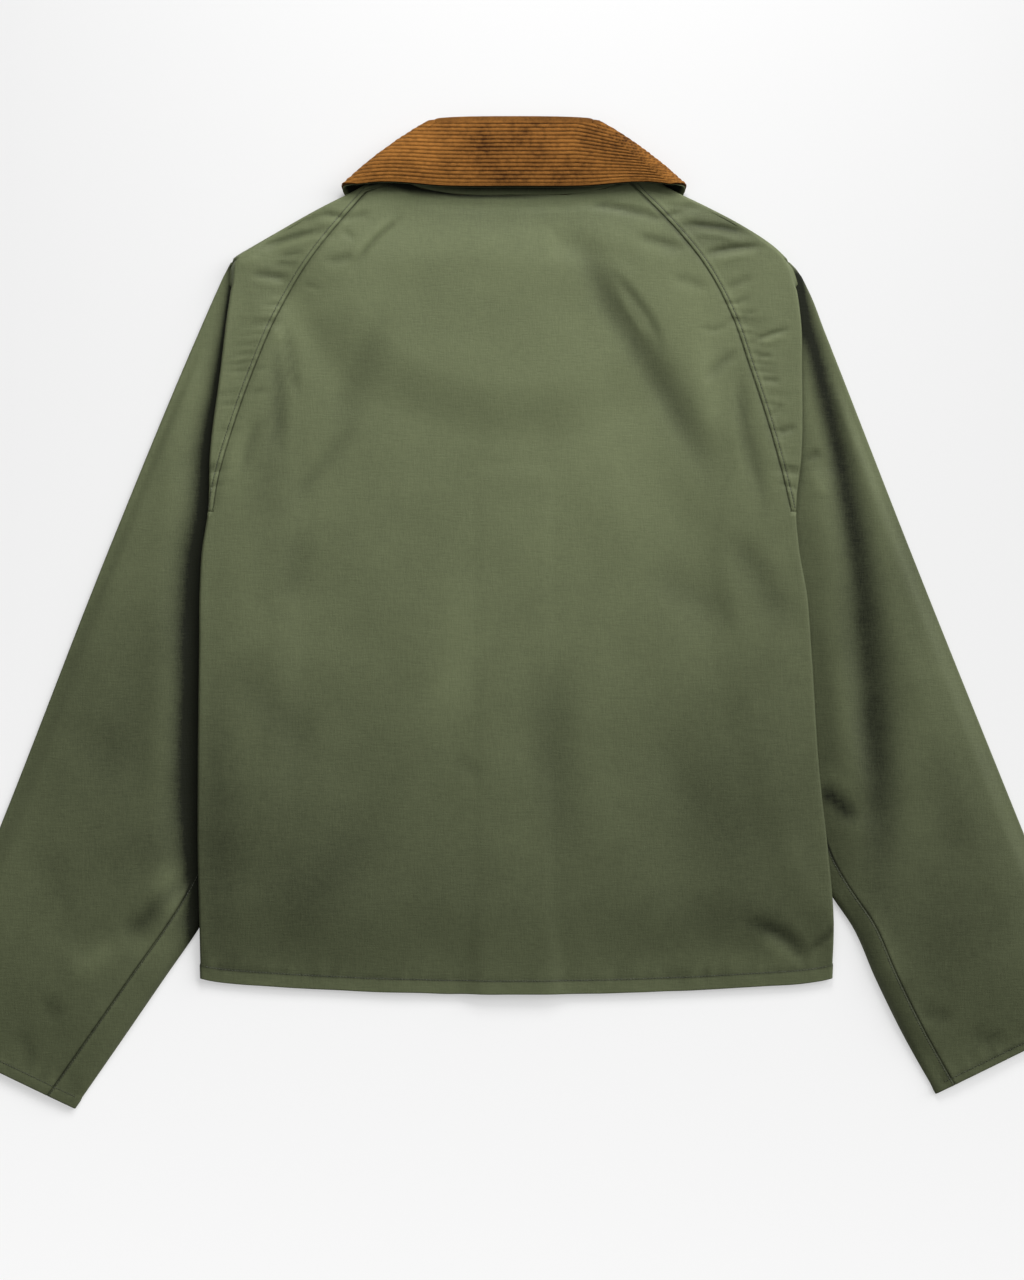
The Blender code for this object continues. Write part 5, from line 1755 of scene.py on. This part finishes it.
# Pressed brass, tumbled and left to age: warm brown metal with darker tarnish in soft spots
brass = {"tarnished": "#5c4a28", "rubbed": "#b0945a", "spots": 2.5}  # mm
agedBrass, tree, shader = newMaterial("agedBrass")
spot = addNode(tree, "ShaderNodeTexCoord").outputs["Object"]
pattern = {"Scale": 1000 / brass["spots"], "Detail": 3.0}
tarnish = addNode(tree, "ShaderNodeTexNoise", pattern, {"Vector": spot})
ends = {6: srgb(brass["tarnished"]), 7: srgb(brass["rubbed"])}
colour = addNode(tree, "ShaderNodeMix", {"data_type": "RGBA", **ends}, {0: tarnish.outputs[0]})
tree.links.new(colour.outputs[2], shader.inputs["Base Color"])
dull = addNode(tree, "ShaderNodeMapRange", {"From Min": 0.3, "From Max": 0.7, "To Min": 0.25, "To Max": 0.5},
               {"Value": tarnish.outputs[0]})
tree.links.new(dull.outputs[0], shader.inputs["Roughness"])
shader.inputs["Metallic"].default_value = 1.0

for line in stitchPieces:
    line.data.materials.append(sewingThread)
for piece in (backPiece, *frontPieces.values(), *sleevePieces.values(), collarUnder):
    piece.data.materials.append(waxedCotton)
collarLeaf.data.materials.append(corduroyPile)
for name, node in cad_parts.items():
    if name.startswith("press_stud"):
        node.material_slots[0].material = agedBrass

# Painted board, matt and pale, under the jacket. It glows a little, more where the lamp's light falls off,
# so that it stays even.
floorGlow = {"near": 0.19, "far": 0.52, "top": 0.55, "bottom": -0.55}
floorMaterial, tree, shader = newMaterial("paleFloor")  # painted board
shader.inputs["Base Color"].default_value = srgb("#b3b3b3")
shader.inputs["Roughness"].default_value = 0.9
shader.inputs["Specular IOR Level"].default_value = 0.1
shader.inputs["Emission Color"].default_value = (1, 1, 1, 1)
spot = addNode(tree, "ShaderNodeTexCoord").outputs["Object"]
height = addNode(tree, "ShaderNodeSeparateXYZ", {}, {0: spot}).outputs["Y"]
glow = addNode(tree, "ShaderNodeMapRange", {"From Min": floorGlow["bottom"], "From Max": floorGlow["top"],
                                            "To Min": floorGlow["far"], "To Max": floorGlow["near"]},
               {"Value": height})
tree.links.new(glow.outputs[0], shader.inputs["Emission Strength"])
bpy.ops.mesh.primitive_plane_add(size=8)
floor = bpy.context.object
floor.name = "floor"
floor.data.materials.append(floorMaterial)
floor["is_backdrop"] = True

studio = {
    "window": {"kind": "SUN", "at": (1.15, 0.78, 0.72), "strength": 3.2, "soft": 0.80},
    "key": {"kind": "AREA", "at": (0.10, 1.22, 0.85), "strength": 19, "soft": 0.6},
    "fill": {"kind": "AREA", "at": (-1.3, 0.1, 1.6), "strength": 4, "soft": 1.5},
}
for name, lamp in studio.items():
    light = bpy.data.lights.new(name, lamp["kind"])
    light.energy = lamp["strength"]
    if lamp["kind"] == "SUN":
        light.angle = lamp["soft"]
    else:
        light.size = lamp["soft"]
    holder = bpy.data.objects.new(name, light)
    holder.location = lamp["at"]
    holder.rotation_euler = (-Vector(lamp["at"])).to_track_quat("-Z", "Y").to_euler()
    bpy.context.scene.collection.objects.link(holder)
world = bpy.data.worlds.new("studio")
world.use_nodes = True
world.node_tree.nodes["Background"].inputs["Color"].default_value = (0.9, 0.9, 0.9, 1)
world.node_tree.nodes["Background"].inputs["Strength"].default_value = 0.22
bpy.context.scene.world = world
bpy.context.scene.view_settings.view_transform = "Standard"

# the photo's frame is 826.4 x 1033 mm, its centre a little right of the frame's origin and below it
camera = bpy.data.cameras.new("camera")
view = {"centre": (0.0054, -0.0210), "tall": 1.033, "distance": 3.0, "level": 0.008}
camera.lens = camera.sensor_width * view["distance"] / view["tall"]
cameraHolder = bpy.data.objects.new("camera", camera)
cameraHolder.location = (*view["centre"], view["distance"] + view["level"])
bpy.context.scene.collection.objects.link(cameraHolder)
bpy.context.scene.camera = cameraHolder

sizes = {
    "cad": [list(corner) for corner in cadBounds],
    "visual": [list(corner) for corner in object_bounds()],
}
print("size:", sizes)
